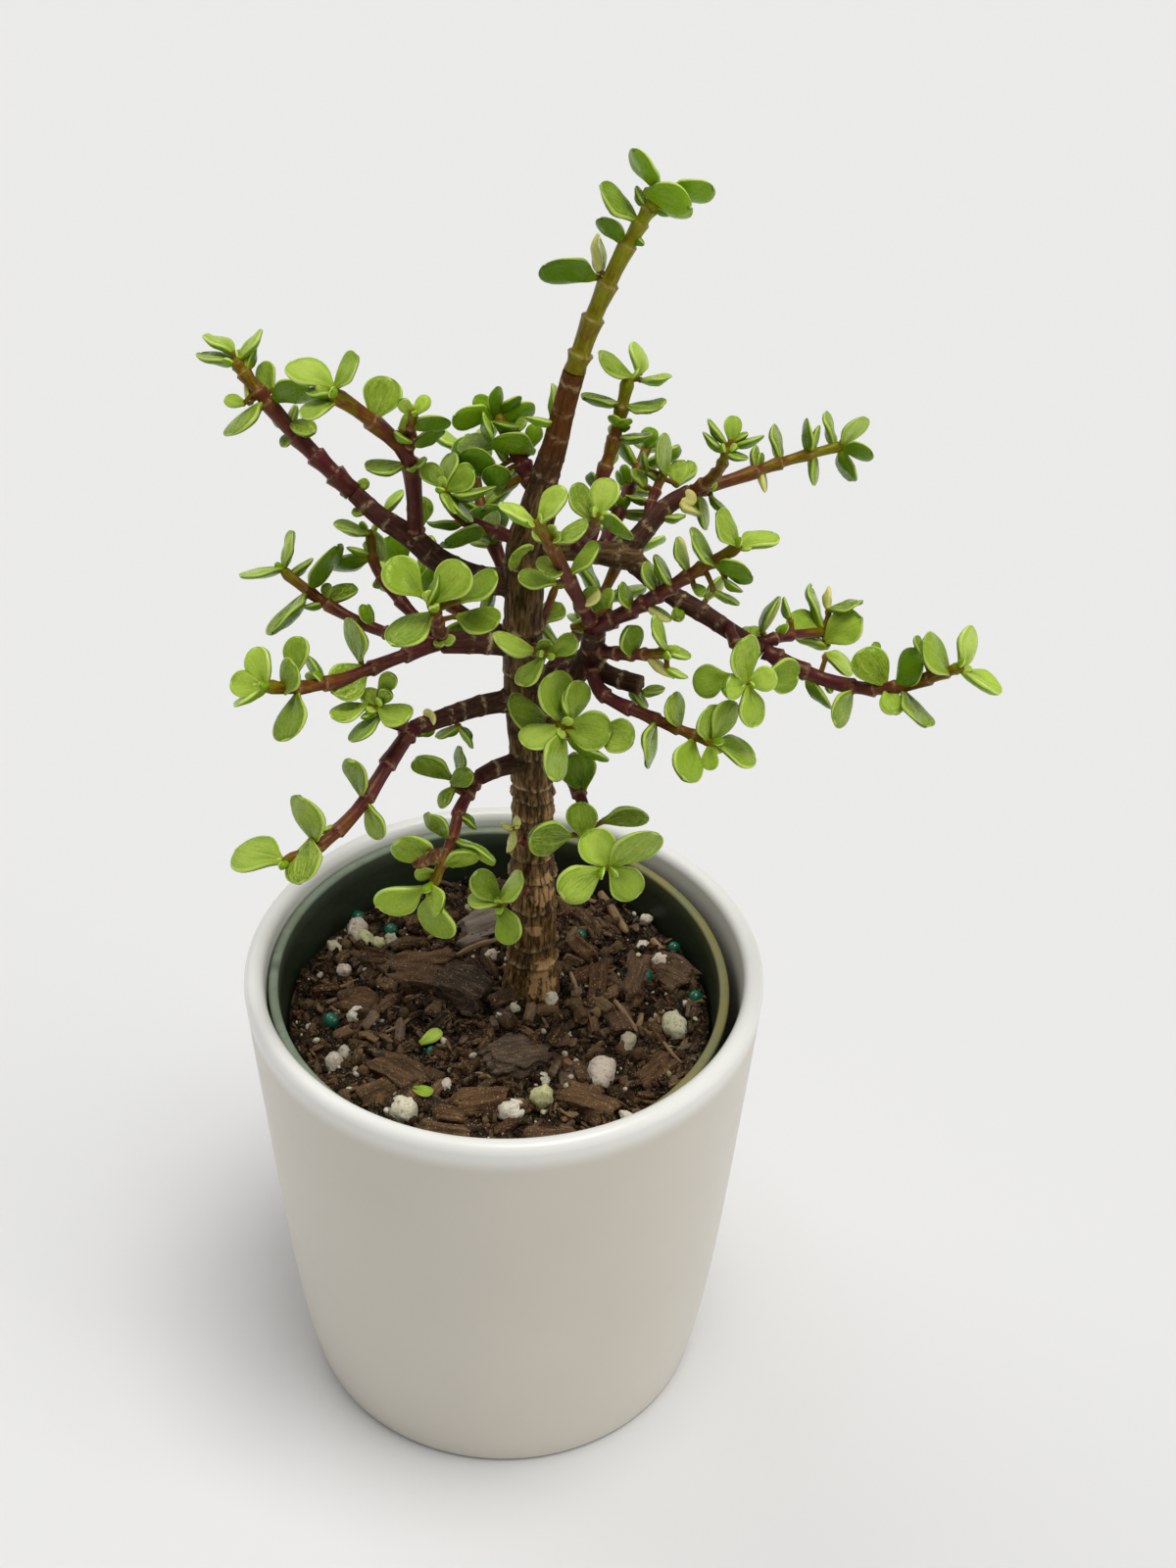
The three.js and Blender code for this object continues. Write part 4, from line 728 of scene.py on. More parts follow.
def soil_material():
    """tint holds (lightness, warmth, wetness) of each crumb."""
    g = Graph("soil")
    light, warm, wet = g.parts(g.vector("tint"))
    fine = g.noise(g.place(), 1.1, 5.0, 0.65)
    grain = g.noise(g.place(), 0.33, 3.0)
    colour = g.ramp(fine, (0.34, (5, 3, 2)), (0.5, (22, 15, 9)), (0.66, (78, 55, 35)))
    colour = g.lay(colour, warm, 0.6, g.mix(fine, (28, 17, 9), (100, 66, 40)))
    colour = g.lay(colour, light, 0.75, g.mix(grain, (112, 84, 54), (206, 172, 122)))
    colour = g.mix(g.span(g.noise(g.place(), 2.8, 2.0), 0.64, 0.7, 0.0, 0.8), colour, (206, 176, 128))
    height = g.plus(fine, g.times(g.noise(g.place(), 3.0, 3.0), 0.5))
    return g.surface(colour, g.span(wet, 0.0, 1.0, 0.88, 0.5), height, 0.5, 0.9, Specular_IOR_Level=0.18)


def chip_material():
    """grain holds each chip's own coordinates, stretched along its fibres, and tint holds (lightness,
    warmth, grey)."""
    g = Graph("bark_chip")
    light, warm, grey = g.parts(g.vector("tint"))
    lines = g.noise(g.vector("grain"), 1.0, 5.0, 0.65, 0.3)
    colour = g.ramp(lines, (0.34, (7, 5, 3)), (0.5, (34, 24, 15)), (0.66, (112, 84, 56)))
    colour = g.lay(colour, warm, 0.6, g.mix(lines, (22, 13, 6), (150, 102, 62)))
    colour = g.lay(colour, light, 0.6, g.mix(lines, (54, 38, 24), (222, 182, 134)))
    colour = g.mix(g.span(g.noise(g.place(), 2.4, 2.0), 0.62, 0.7, 0.0, 0.8), colour, (214, 178, 128))
    colour = g.lay(colour, grey, 0.8, g.mix(lines, (76, 64, 56), (190, 174, 158)))
    height = g.plus(lines, g.times(g.noise(g.place(), 1.6, 4.0), 0.4))
    return g.surface(colour, 0.75, height, 0.6, 0.9, Specular_IOR_Level=0.2)


def grain_material():
    """tint holds (pinkness, greenness, shade) of each pumice or perlite grain."""
    g = Graph("pumice")
    pink, green, shade = g.parts(g.vector("tint"))
    pores = g.noise(g.place(), 1.2, 4.0, 0.7)
    colour = g.mix(pores, (232, 218, 186), (255, 252, 240))
    colour = g.lay(colour, pink, 0.6, (234, 204, 184))
    colour = g.lay(colour, green, 0.6, (216, 214, 112))
    colour = g.lay(colour, g.span(pores, 0.5, 0.3), 0.6, (96, 76, 52))
    return g.surface(g.mix(shade, colour, (120, 100, 78)), 0.85, pores, 0.6, 0.9)


def prill_material():
    g = Graph("fertiliser")
    colour = g.mix(g.noise(g.place(), 0.5, 3.0), (8, 70, 52), (24, 120, 88))
    return g.surface(colour, 0.22, g.noise(g.place(), 1.4, 2.0), 0.1, 0.5, Coat_Weight=0.4)


def straw_material():
    g = Graph("straw")
    lines = g.noise(g.vector("grain"), 1.4, 4.0, 0.6)
    colour = g.ramp(lines, (0.3, (96, 72, 46)), (0.55, (160, 128, 88)), (0.75, (206, 178, 134)))
    return g.surface(colour, 0.7, lines, 0.25, 0.8)


def glaze_material():
    """Painted light and shade: a darker, warm off-white on the wall, and whiter on the lip, which faces the
    light.
    """
    g = Graph("glaze")
    slow = g.noise(g.place(), 0.03, 2.0)
    fine = g.noise(g.place(), 0.7, 3.0)
    wall = g.mix(slow, (216, 209, 195), (224, 217, 203))
    lip = g.mix(slow, (246, 246, 240), (250, 249, 244))
    # painted light and shade: whiter at the lip's height, darker and warmer on the wall below
    colour = g.mix(g.span(g.parts(g.place())[2], POT_HEIGHT - 9, POT_HEIGHT - 3), wall, lip)
    colour = g.mix(g.span(fine, 0.66, 0.74, 0.0, 0.12), colour, (206, 196, 178))
    roughness = g.span(g.noise(g.place(), 0.12, 3.0), 0.3, 0.7, 0.3, 0.38)
    height = g.plus(g.times(slow, 3.0), g.times(fine, 0.06))
    return g.surface(colour, roughness, height, 0.5, 0.35, Coat_Weight=0.15, Coat_Roughness=0.2)


def liner_material():
    """rim is 1 on the rolled rim, which is painted lighter as if lit, with the wall painted dark as if in
    shade, and seam marks the mould's joint.
    """
    g = Graph("liner")
    cloud = g.noise(g.place(), 0.08, 3.0)
    # painted shade: the wall is dark green, as if in shade inside the pot
    wall = g.mix(cloud, (30, 42, 28), (46, 58, 36))
    # painted light: the rim's tint shifts from grey on the left to warmer on the right, as the light falls
    edge = g.mix(g.span(g.parts(g.place())[0], -20, 30), (140, 154, 134), (140, 132, 78))
    edge = g.mix(g.span(cloud, 0.4, 0.6, 0.0, 0.5), edge, (116, 128, 92))
    colour = g.mix(g.number("rim"), wall, edge)
    colour = g.lay(colour, g.span(g.noise(g.place(), 0.5, 4.0), 0.58, 0.72), 0.3, (96, 84, 60))
    colour = g.lay(colour, g.number("seam"), 0.6, (70, 78, 58))
    scuffs = g.noise(g.place((0.2, 0.2, 2.0)), 0.6, 3.0)
    return g.surface(colour, g.span(scuffs, 0.3, 0.7, 0.42, 0.56), scuffs, 0.12, 0.5)


def dead_material():
    g = Graph("dead_leaf")
    crumple = g.noise(g.place(), 0.8, 4.0, 0.65, 0.5)
    colour = g.ramp(crumple, (0.3, (44, 26, 10)), (0.5, (104, 64, 26)), (0.7, (172, 124, 64)))
    return g.surface(colour, 0.7, crumple, 0.5, 0.9)


# ---------------------------------------------------------------- routes
SPAN_STEPS = 12  # between two waypoints


class Route:
    """The same smooth route as in the CAD source, with a frame that doesn't twist carried along it."""

    def __init__(self, waypoints):
        w = np.array(waypoints, float)
        last = len(w) - 1
        steps = SPAN_STEPS * last
        before = np.vstack([2 * w[0] - w[1], w])
        after = np.vstack([w, 2 * w[-1] - w[-2]])
        points = []
        for i in range(steps + 1):
            position = last * i / steps
            k = min(int(position), last - 1)
            t = position - k
            p0, p1, p2, p3 = before[k], w[k], w[k + 1], after[k + 2]
            a, b = 0.5 * (p2 - p0), 0.5 * (p3 - p1)
            points.append(
                p1 + a * t + (-3 * p1 + 3 * p2 - 2 * a - b) * t**2 + (2 * p1 - 2 * p2 + a + b) * t**3
            )
        self.points = np.array(points)
        gaps = np.linalg.norm(np.diff(self.points, axis=0), axis=1)
        self.lengths = np.concatenate([[0], np.cumsum(gaps)])
        self.length = self.lengths[-1]
        ends = np.arange(steps + 1)
        steps_on = self.points[np.minimum(ends + 1, steps)] - self.points[np.maximum(ends - 1, 0)]
        self.tangents = steps_on / np.linalg.norm(steps_on, axis=1)[:, None]
        self.normals = [square_to(OUTWARD, self.tangents[0])]
        for tangent in self.tangents[1:]:
            self.normals.append(square_to(self.normals[-1], tangent))

    def at(self, distance):
        """The point at a distance along the route, its tangent, and the two directions square to that."""
        last = len(self.points) - 1
        i = 0
        while i < last - 1 and self.lengths[i + 1] < distance:
            i += 1
        share = (distance - self.lengths[i]) / (self.lengths[i + 1] - self.lengths[i])
        point = self.points[i] + (self.points[i + 1] - self.points[i]) * share
        tangent = unit(self.tangents[i] + (self.tangents[i + 1] - self.tangents[i]) * share)
        normal = square_to(self.normals[i], tangent)
        return point, tangent, normal, np.cross(tangent, normal)


limbs = {name: (Route(route), radii) for name, (route, radii) in LIMBS.items()}
SHOOT_FACTS = ("stem", "bare", "gap", "turn", "leaf")
shoots = []
for index, (name, (route, *facts)) in enumerate(SHOOTS.items()):
    shoots.append(dict(zip(SHOOT_FACTS, facts), index=index, name=name, path=Route(route)))

# ---------------------------------------------------------------- where the leaves sit, as in the CAD source
TIP_CROWDING = 0.35  # how much closer together the pairs get towards the tip
TIP_ROOM = 0.45  # room before the tip that no other pair takes, in gaps
TIP_PAIR_BACK = 0.6
OPEN_AT_BASE, OPEN_AT_TIP = 76, 58  # degrees between a leaf and its stem
TIP_LEAF_SHARE = 0.85
LIFT, FACE_UP = 0.3, 0.9
BEARING_TRIES, OPEN_TRIES = [0, 16, -16, 32, -32, 48, -48], [0, -18, 14]
# where on a leaf its room is tested: shares of its length and of half its width
SPOTS = np.array([[0.3, 0], [0.58, 0], [0.62, 0.62], [0.62, -0.62], [0.9, 0]])
ROOT_DEPTH = 0.3
SPOT_REACH, SAME_SHOOT_REACH = 0.16, 0.1
LEAF_CLEARANCE = 0.7
SIZE_SPREAD = 0.2
SWAY_DEGREES = 20
LEAF_WIDTH_SHARE = 0.85
RULE_SEED, MARKED_SEED = 1, 71


def make_draw(seed):
    """Random numbers from 0 to 1, as the CAD source draws them."""
    state = [seed]

    def draw():
        state[0] = (state[0] * 1664525 + 1013904223) % 2**32
        return state[0] / 2**32

    return draw


def leaf_pairs(shoot):
    """The distance and bearing of each pair of leaves."""
    pairs, distance, bearing = [], shoot["bare"], shoot["turn"]
    length = shoot["path"].length
    while distance < length - TIP_ROOM * shoot["gap"]:
        pairs.append((distance, bearing))
        distance += shoot["gap"] * (1 - TIP_CROWDING * distance / length)
        bearing += 90
    return pairs + [(length - TIP_PAIR_BACK, bearing)]


def outward(normal, side, bearing):
    """The direction out of a stem at a bearing in degrees."""
    around = math.radians(bearing)
    return normal * math.cos(around) + side * math.sin(around)


def room_spots(root, axis, across, length, width):
    return root + SPOTS[:, :1] * length * axis + SPOTS[:, 1:] * width / 2 * across


def place_leaf(shoot, distance, bearing, open_turn, length):
    """A leaf set by the rule."""
    point, tangent, normal, side = shoot["path"].at(distance)
    share = distance / shoot["path"].length
    opening = math.radians(OPEN_AT_BASE + (OPEN_AT_TIP - OPEN_AT_BASE) * share + open_turn)
    out = outward(normal, side, bearing)
    axis = unit(tangent * math.cos(opening) + out * math.sin(opening) + UP * LIFT)
    face = square_to(tangent + UP * FACE_UP, axis)
    across = np.cross(face, axis)
    width = length * LEAF_WIDTH_SHARE
    return dict(
        shoot=shoot["index"], root=point + out * ROOT_DEPTH * shoot["stem"][1], axis=axis, face=face,
        across=across, length=length, width=width, share=share, distance=distance,
        spots=room_spots(point, axis, across, length, width),
    )


wood_points = np.vstack([path.points for path, _ in limbs.values()])
wood_radii = np.concatenate([np.full(len(path.points), max(radii[1:])) for path, radii in limbs.values()])
stem_points = np.vstack([s["path"].points for s in shoots])
stem_radii = np.concatenate([np.full(len(s["path"].points), s["stem"][0]) for s in shoots])
stem_owner = np.concatenate([np.full(len(s["path"].points), s["index"]) for s in shoots])


def gap_between(spots, points, radii=0.0):
    return (np.linalg.norm(spots[:, None] - points[None], axis=2) - radii).min()


def room_between(leaf, other, clearance=0.0):
    """How far apart the spots of two leaves should be."""
    total = leaf["length"] + other["length"]
    same = other["shoot"] == leaf["shoot"]
    return SAME_SHOOT_REACH * total if same else SPOT_REACH * total + clearance


def has_room(leaf, placed):
    """Whether a leaf stays clear of the wood, the other stems and the leaves already placed."""
    spots, reach = leaf["spots"], SPOT_REACH * leaf["length"] + LEAF_CLEARANCE
    others = stem_owner != leaf["shoot"]
    if gap_between(spots, wood_points, wood_radii) <= reach:
        return False
    if gap_between(spots, stem_points[others], stem_radii[others]) <= reach:
        return False
    return all(
        gap_between(spots, other["spots"]) > room_between(leaf, other, LEAF_CLEARANCE) for other in placed
    )


# ---------------------------------------------------------------- leaves set on their marks
TWIG_RADIUS = 0.65
TWIG_FREE = 0.8  # a root this far off a stem's skin still sits on the stem
ROOT_INSIDE = 0.7  # and is drawn in to this share of the stem's radius
LONG_WIDTH_SHARE, SHORT_WIDTH_SHARE, SHORT_LEAF = 0.85, 0.72, 6.5
DEPTH_TRIES = [0, -0.25, 0.25, -0.45, 0.45, -0.65, 0.65]  # how far the tip lies behind the root
LIMB_PENALTY = 1.0
LEAST_LEAN = 0.03
# what counts in choosing how a leaf stands
CROWDING_COST, OPENING_COST, USUAL_OPENING, RISE_GAIN, FACE_GAIN = 2.5, 0.9, 0.35, 0.15, 0.25


def carrier_of(shoot, root_pixel):
    """The point of the shoot's stem, or of a limb, that lies nearest behind a pixel: how far off it shows,
    its route, number and depth, the route's thinnest radius, and whether it is the shoot's own stem."""
    routes = [(shoot["path"], shoot["stem"], 0.0)]
    routes += [(route, radii[1:], LIMB_PENALTY) for route, radii in limbs.values()]
    best, least = None, math.inf
    for route, radii, penalty in routes:
        pixels, depth = seen(route.points)
        apart = np.linalg.norm(pixels - root_pixel, axis=1) * depth / VIEW_FOCUS
        i = int(apart.argmin())
        if apart[i] + penalty < least:
            least = apart[i] + penalty
            best = (apart[i], route, i, depth[i], min(radii), route is shoot["path"])
    return best


def crowding(leaf, placed):
    """How much a leaf runs into the wood, the other stems and the leaves already placed."""
    spots, reach = leaf["spots"][1:], SPOT_REACH * leaf["length"]
    others = stem_owner != leaf["shoot"]
    shares = [
        gap_between(spots, wood_points, wood_radii) / reach,
        gap_between(spots, stem_points[others], stem_radii[others]) / reach,
    ]
    shares += [gap_between(spots, other["spots"][1:]) / room_between(leaf, other) for other in placed]
    return sum(max(0.0, 1 - share) for share in shares)


def leaf_thickness(length):
    return 0.78 + 0.045 * length


def marked_leaf(shoot, mark, placed, draw):
    """A leaf whose root, tip and width show where the mark has them, set on the stem that carries it."""
    root_x, root_y, tip_x, tip_y, wide, *notes = mark
    apart, route, i, depth, radius, own = carrier_of(shoot, np.array([root_x, root_y], float))
    centre, tangent = route.points[i], route.tangents[i]
    root = VIEW_POINT + sight(root_x, root_y) * depth
    twig = apart > radius + TWIG_FREE
    if not twig and apart > ROOT_INSIDE * radius:
        root = centre + (root - centre) * ROOT_INSIDE * radius / apart
    shown = np.linalg.norm(VIEW_POINT + sight(tip_x, tip_y) * depth - root)
    width = wide * depth / VIEW_FOCUS
    share = SHORT_WIDTH_SHARE if max(shown, width) < SHORT_LEAF else LONG_WIDTH_SHARE
    if width > share * shown:  # too wide for its length: it is foreshortened
        away = math.sqrt((width / share) ** 2 - shown**2)
        depths = [-away, away]
    else:
        depths = [step * shown * (0.8 + 0.4 * draw()) for step in DEPTH_TRIES]
    if FRONT in notes:
        depths = [d for d in depths if d <= 0]
    if AWAY in notes:
        depths = [d for d in depths if d >= 0]
    best, least = None, math.inf
    for d in depths:
        tip = VIEW_POINT + sight(tip_x, tip_y) * (depth + d)
        length = np.linalg.norm(tip - root)
        axis = (tip - root) / length
        broad = unit(np.cross(FORWARD, axis))
        thin = np.cross(axis, broad)
        # how far the leaf is turned from its flat side, so that it shows the width of the mark
        full_width, full_depth = share * length, 2.2 * leaf_thickness(length)
        lean = (width**2 - full_depth**2) / max(full_width**2 - full_depth**2, 0.01)
        lean = math.sqrt(min(1.0, max(LEAST_LEAN, lean)))
        for side in (1, -1):
            across = lean * broad + side * math.sqrt(1 - lean * lean) * thin
            face = np.cross(axis, across)
            if (face @ FORWARD > 0) != (UNDER in notes):
                face, across = -face, -across
            leaf = dict(
                shoot=shoot["index"], root=root, axis=axis, face=face, across=across, length=length,
                width=full_width, lean=lean, share=route.lengths[i] / route.length if own else 0.0,
                distance=route.lengths[i] if own else None, notes=notes, pair=0,
                twig=(centre, root, tangent) if twig else None,
                spots=room_spots(root, axis, across, length, full_width),
            )
            cost = CROWDING_COST * crowding(leaf, placed)
            cost += OPENING_COST * (axis @ tangent - USUAL_OPENING) ** 2
            cost -= RISE_GAIN * axis[2]
            cost -= FACE_GAIN * (face @ (unit(tangent) + FACE_UP * UP))
            if cost < least:
                best, least = leaf, cost
    return best


def grow_leaves():
    """The marked leaves, and then by the rule those of the shoots that have no marks."""
    placed = []
    for shoot in shoots:
        draw = make_draw(shoot["index"] + MARKED_SEED)
        for mark in MARKS.get(shoot["name"], []):
            placed.append(marked_leaf(shoot, mark, placed, draw))
    for shoot in shoots:
        if shoot["name"] in MARKS:
            continue
        draw = make_draw(shoot["index"] + RULE_SEED)
        for pair, (distance, bearing) in enumerate(leaf_pairs(shoot)):
            for half in (0, 180):
                share = distance / shoot["path"].length
                size = 1 + (TIP_LEAF_SHARE - 1) * share * share
                length = shoot["leaf"] * size * (1 + SIZE_SPREAD * (draw() - 0.5))
                sway = SWAY_DEGREES * (draw() - 0.5)
                for open_turn, turn in [(o, b) for o in OPEN_TRIES for b in BEARING_TRIES]:
                    leaf = place_leaf(shoot, distance, bearing + half + sway + turn, open_turn, length)
                    if has_room(leaf, placed):
                        placed.append(dict(leaf, pair=pair))
                        break
    return placed


leaves = grow_leaves()

# ---------------------------------------------------------------- leaves
EDGE_ON = 0.75  # a leaf turned further from the front than this is flatter, with a finer tip
AROUND = 20
WIDEST = 0.6  # the share of the length where a leaf is widest
BODY_STATIONS = np.array([0.0, 0.05, 0.12, 0.21, 0.31, 0.42, 0.52])
TIP_ANGLES = np.radians([0, 16, 31, 45, 58, 69, 78, 85])
ROOT_HALF_WIDTH = 0.75
HOLLOWS = 0.3  # the share of leaves that curl down instead of up


def blade(leaf, rng, youth, mottle, cream, thickness=1.0):
    """A fleshy obovate blade as points, faces and attributes. Youth, mottle and cream run from 0 to 1, and a
    cream below zero colours one side of the leaf alone."""
    length, half_width = leaf["length"], leaf["width"] / 2
    # u runs from root to tip, and w and t are half the width and the thickness there
    widest = WIDEST + 0.05 * (rng.random() - 0.5)
    u = np.concatenate([BODY_STATIONS * widest / WIDEST, widest + (1 - widest) * np.sin(TIP_ANGLES)])
    tip = (u - widest) / (1 - widest)
    power = 1.3 + 0.35 * rng.random()
    neck = min(0.5, ROOT_HALF_WIDTH / half_width)
    grow = neck + (1 - neck) * np.sin(np.pi / 2 * np.clip(u / widest, 0, 1)) ** power
    w = half_width * np.where(u > widest, (1 - np.clip(tip, 0, 1) ** 2.2) ** 0.48, grow)
    w *= (0.98 + 0.08 * rng.random()) * (1 - 0.04 * youth)
    full = leaf_thickness(length) * thickness * (0.9 + 0.25 * rng.random())
    t = full * (0.55 + 0.45 * np.sin(np.pi / 2 * np.clip(u / 0.45, 0, 1)))
    edge_on = leaf.get("lean", 1.0) < EDGE_ON
    if edge_on:
        t *= 0.88 * np.clip(1 - np.clip((u - 0.4) / 0.6, 0, 1) ** 1.8, 0, 1) ** 0.6
    else:
        t *= np.sqrt(np.clip(1 - np.clip((u - 0.66) / 0.34, 0, 1) ** 2.4, 0, 1))
    # the section: fuller below than above, with blunt sides
    cosine, sine = np.cos(circle(AROUND)), np.sin(circle(AROUND))
    square = np.sign(cosine) * np.abs(cosine) ** 0.86
    lift = np.where(sine > 0, 0.78 * np.abs(sine) ** 0.8, -1.22 * np.abs(sine) ** 0.95)

    bend = (0.16 * rng.random() - 0.07) * length
    cup = (0.06 + 0.3 * rng.random() * (0.5 + 0.5 * youth)) * half_width
    if rng.random() < HOLLOWS:
        cup = -0.3 * cup
    if edge_on:
        cup *= 0.35
    fold = 0.12 + 0.22 * rng.random()
    lean = 0.10 * (rng.random() - 0.5)
    twist = 0.35 * (rng.random() - 0.5)
    wave, wave_turn = 0.09 * half_width * rng.random(), 6.28 * rng.random()
    crease = (0.16 + 0.36 * rng.random()) * full * (1 - 0.5 * youth)

    run = u[:, None]
    x = w[:, None] * square
    share = square * np.ones_like(x)
    z = t[:, None] * lift
    z = z + cup * share**2 * smooth_step(0.08, 0.6, run)
    z = z + fold * np.abs(x) * np.exp(-((run / 0.34) ** 2))
    creased = smooth_step(0.0, 0.2, run) * (1 - smooth_step(0.5, 0.85, run))
    z = z - crease * np.exp(-((share / 0.22) ** 2)) * creased
    z = z + bend * (run**2 - 0.45 * run)
    z = z + wave * np.sin(7 * run + 3.2 * share + wave_turn) * smooth_step(0.2, 0.6, run)
    x = x + lean * length * run**2
    turn = twist * run
    x, z = x * np.cos(turn) - z * np.sin(turn), x * np.sin(turn) + z * np.cos(turn)

    rings = (
        leaf["root"]
        + (u * length)[:, None, None] * leaf["axis"]
        + x[:, :, None] * leaf["across"]
        + z[:, :, None] * leaf["face"]
    )
    tip_point = rings[-1].mean(0) + leaf["axis"] * length * 0.002
    points = np.vstack([rings[0].mean(0), rings.reshape(-1, 3), tip_point])

    across = np.concatenate([[0], share.ravel(), [0]])
    along = np.concatenate([[0], np.repeat(u, AROUND), [1]])
    under = np.concatenate([[1], np.tile(sine < -0.05, len(u)), [0]]).astype(float)
    tip_rim = smooth_step(0.8, 1.0, along)
    rim = np.maximum(np.abs(across) ** 1.6, tip_rim * (1 - 0.25 * across**2))
    seed = rng.random()
    if cream < 0:
        side = 1 if rng.random() < 0.5 else -1
        patch = noise(columns(across * 2.2, along * 3, seed * 9), 5)
        cream = smooth_step(0.12, 0.3, side * across + 0.5 * (patch - 0.5)) * -cream
    kind = columns(youth, mottle, cream + np.zeros(len(across)))
    facts = dict(place=columns(across, along, seed), kind=kind, rim=rim, under=under)
    return points, closed_faces(len(u), AROUND), facts


def add_blade(heap, rng, leaf, *looks):
    points, faces, facts = blade(leaf, rng, *looks)
    heap.add(points, faces, **facts)


# ---------------------------------------------------------------- shoots
SHOOT_SEED = 500
STEM_SIDES, TWIG_SIDES = 14, 8
STEM_WOBBLE = 0.12
STEM_AGE, TWIG_AGE = (0.8, 0.26), 0.35  # from the stem's foot to its tip
STEM_AGES = {
    "leader": (0.22, 0.0), "crown_right": (0.55, 0.1), "right_back": (0.5, 0.1), "right_back_top": (0.5, 0.2),
}
PALE_SHOOTS = {"trunk_sprout": 0.8}
SMALLER = {"back_crown": [(5, 0.45)]}  # leaves of the back that stay hidden from the front: number, share
TWIG_SHAPE = [(0.0, 1.35, 0.0), (0.3, 1.0, 0.0), (0.75, 0.9, 0.0), (0.92, 1.15, 0.6), (1.0, 0.8, 0.0)]
SEGMENT_SHAPE = [(0.0, 1.2, 1.0), (0.25, 1.08, 0.9), (0.6, 0.88, 0.1)]  # mm past the node, share, ring
SEGMENT_RISE = [(0.35, 0.9), (0.62, 0.97), (0.85, 1.08)]  # share of the internode, share of the radius
STEM_END = [(-0.2, 0.95), (0.7, 0.72), (1.1, 0.4)]  # mm past the end, share of the radius
NODE_MARGIN, NODE_GAP = 2, 3  # mm from a stem's ends to its first nodes, and between nodes
YOUTH_FROM_TIP = [0.75, 0.4, 0.2, 0.1]


def stem_nodes(shoot):
    """The distances of the stem's nodes: one at each leaf pair, and the old ones on the bare stretch."""
    nodes = [distance for distance, _ in leaf_pairs(shoot)[:-1]]
    if shoot["name"] in MARKS:
        own = [leaf["distance"] for leaf in leaves if leaf["shoot"] == shoot["index"] and leaf["distance"]]
        last = shoot["path"].length - NODE_MARGIN
        nodes = []
        for distance in sorted(own):
            if NODE_MARGIN < distance < last and (not nodes or distance - nodes[-1] > NODE_GAP):
                nodes.append(distance)
    step = max(4.5, 0.75 * shoot["gap"])
    distance = nodes[0] if nodes else shoot["path"].length
    while distance - step > 1.5:
        distance -= step
        nodes.append(distance)
    return sorted(nodes)


def stem_profile(shoot, rng):
    """Stations along a stem: distance, radius, ring."""
    length = shoot["path"].length
    base, tip = shoot["stem"]
    stations = [(0.0, 1.0, 0.0)]
    edges = [0.0, *stem_nodes(shoot), length]
    for start, end in zip(edges[:-1], edges[1:]):
        if start > 0:
            swell = 0.8 + 0.4 * rng.random()
            for past, share, ring in SEGMENT_SHAPE:
                stations.append((start + past, 1 + (share - 1) * swell, ring))
        for part, share in SEGMENT_RISE:
            stations.append((start + 0.55 + (end - start - 0.9) * part, share, 0.0))
        if end < length:
            stations.append((end - 0.15, 1.18, 0.4))
    stations += [(length + past, share, 0) for past, share in STEM_END]
    return [(d, s * (base + (tip - base) * min(d, length) / length), r) for d, s, r in sorted(stations)]


def tube(route, stations, sides, seed=0.0, wobble=0.0):
    """A closed tube along a route. With its points and faces come (cosine, distance, sine) and the ring share
    of each point."""
    angle = circle(sides)
    cosine, sine = np.cos(angle), np.sin(angle)
    points, place = [], []
    for distance, radius, _ in stations:
        point, _, normal, side = route.at(distance)
        r = radius * (1 + wobble * (noise(columns(cosine, sine, distance * 0.3 + seed) * 1.7, 3) - 0.5))
        points.append(point + (r * cosine)[:, None] * normal + (r * sine)[:, None] * side)
        place.append(columns(cosine, distance, sine))
    rows = len(stations)
    ends = [tuple(range(sides))[::-1], tuple(range((rows - 1) * sides, rows * sides))]
    rings = np.repeat([ring for _, _, ring in stations], sides)
    return np.vstack(points), ring_faces(rows, sides) + ends, np.vstack(place), rings


LEAF, STEM, BARK = leaf_material(), stem_material(), bark_material()
STEM_INDEX = 1  # the stem's place in a shoot's list of materials, after the leaf


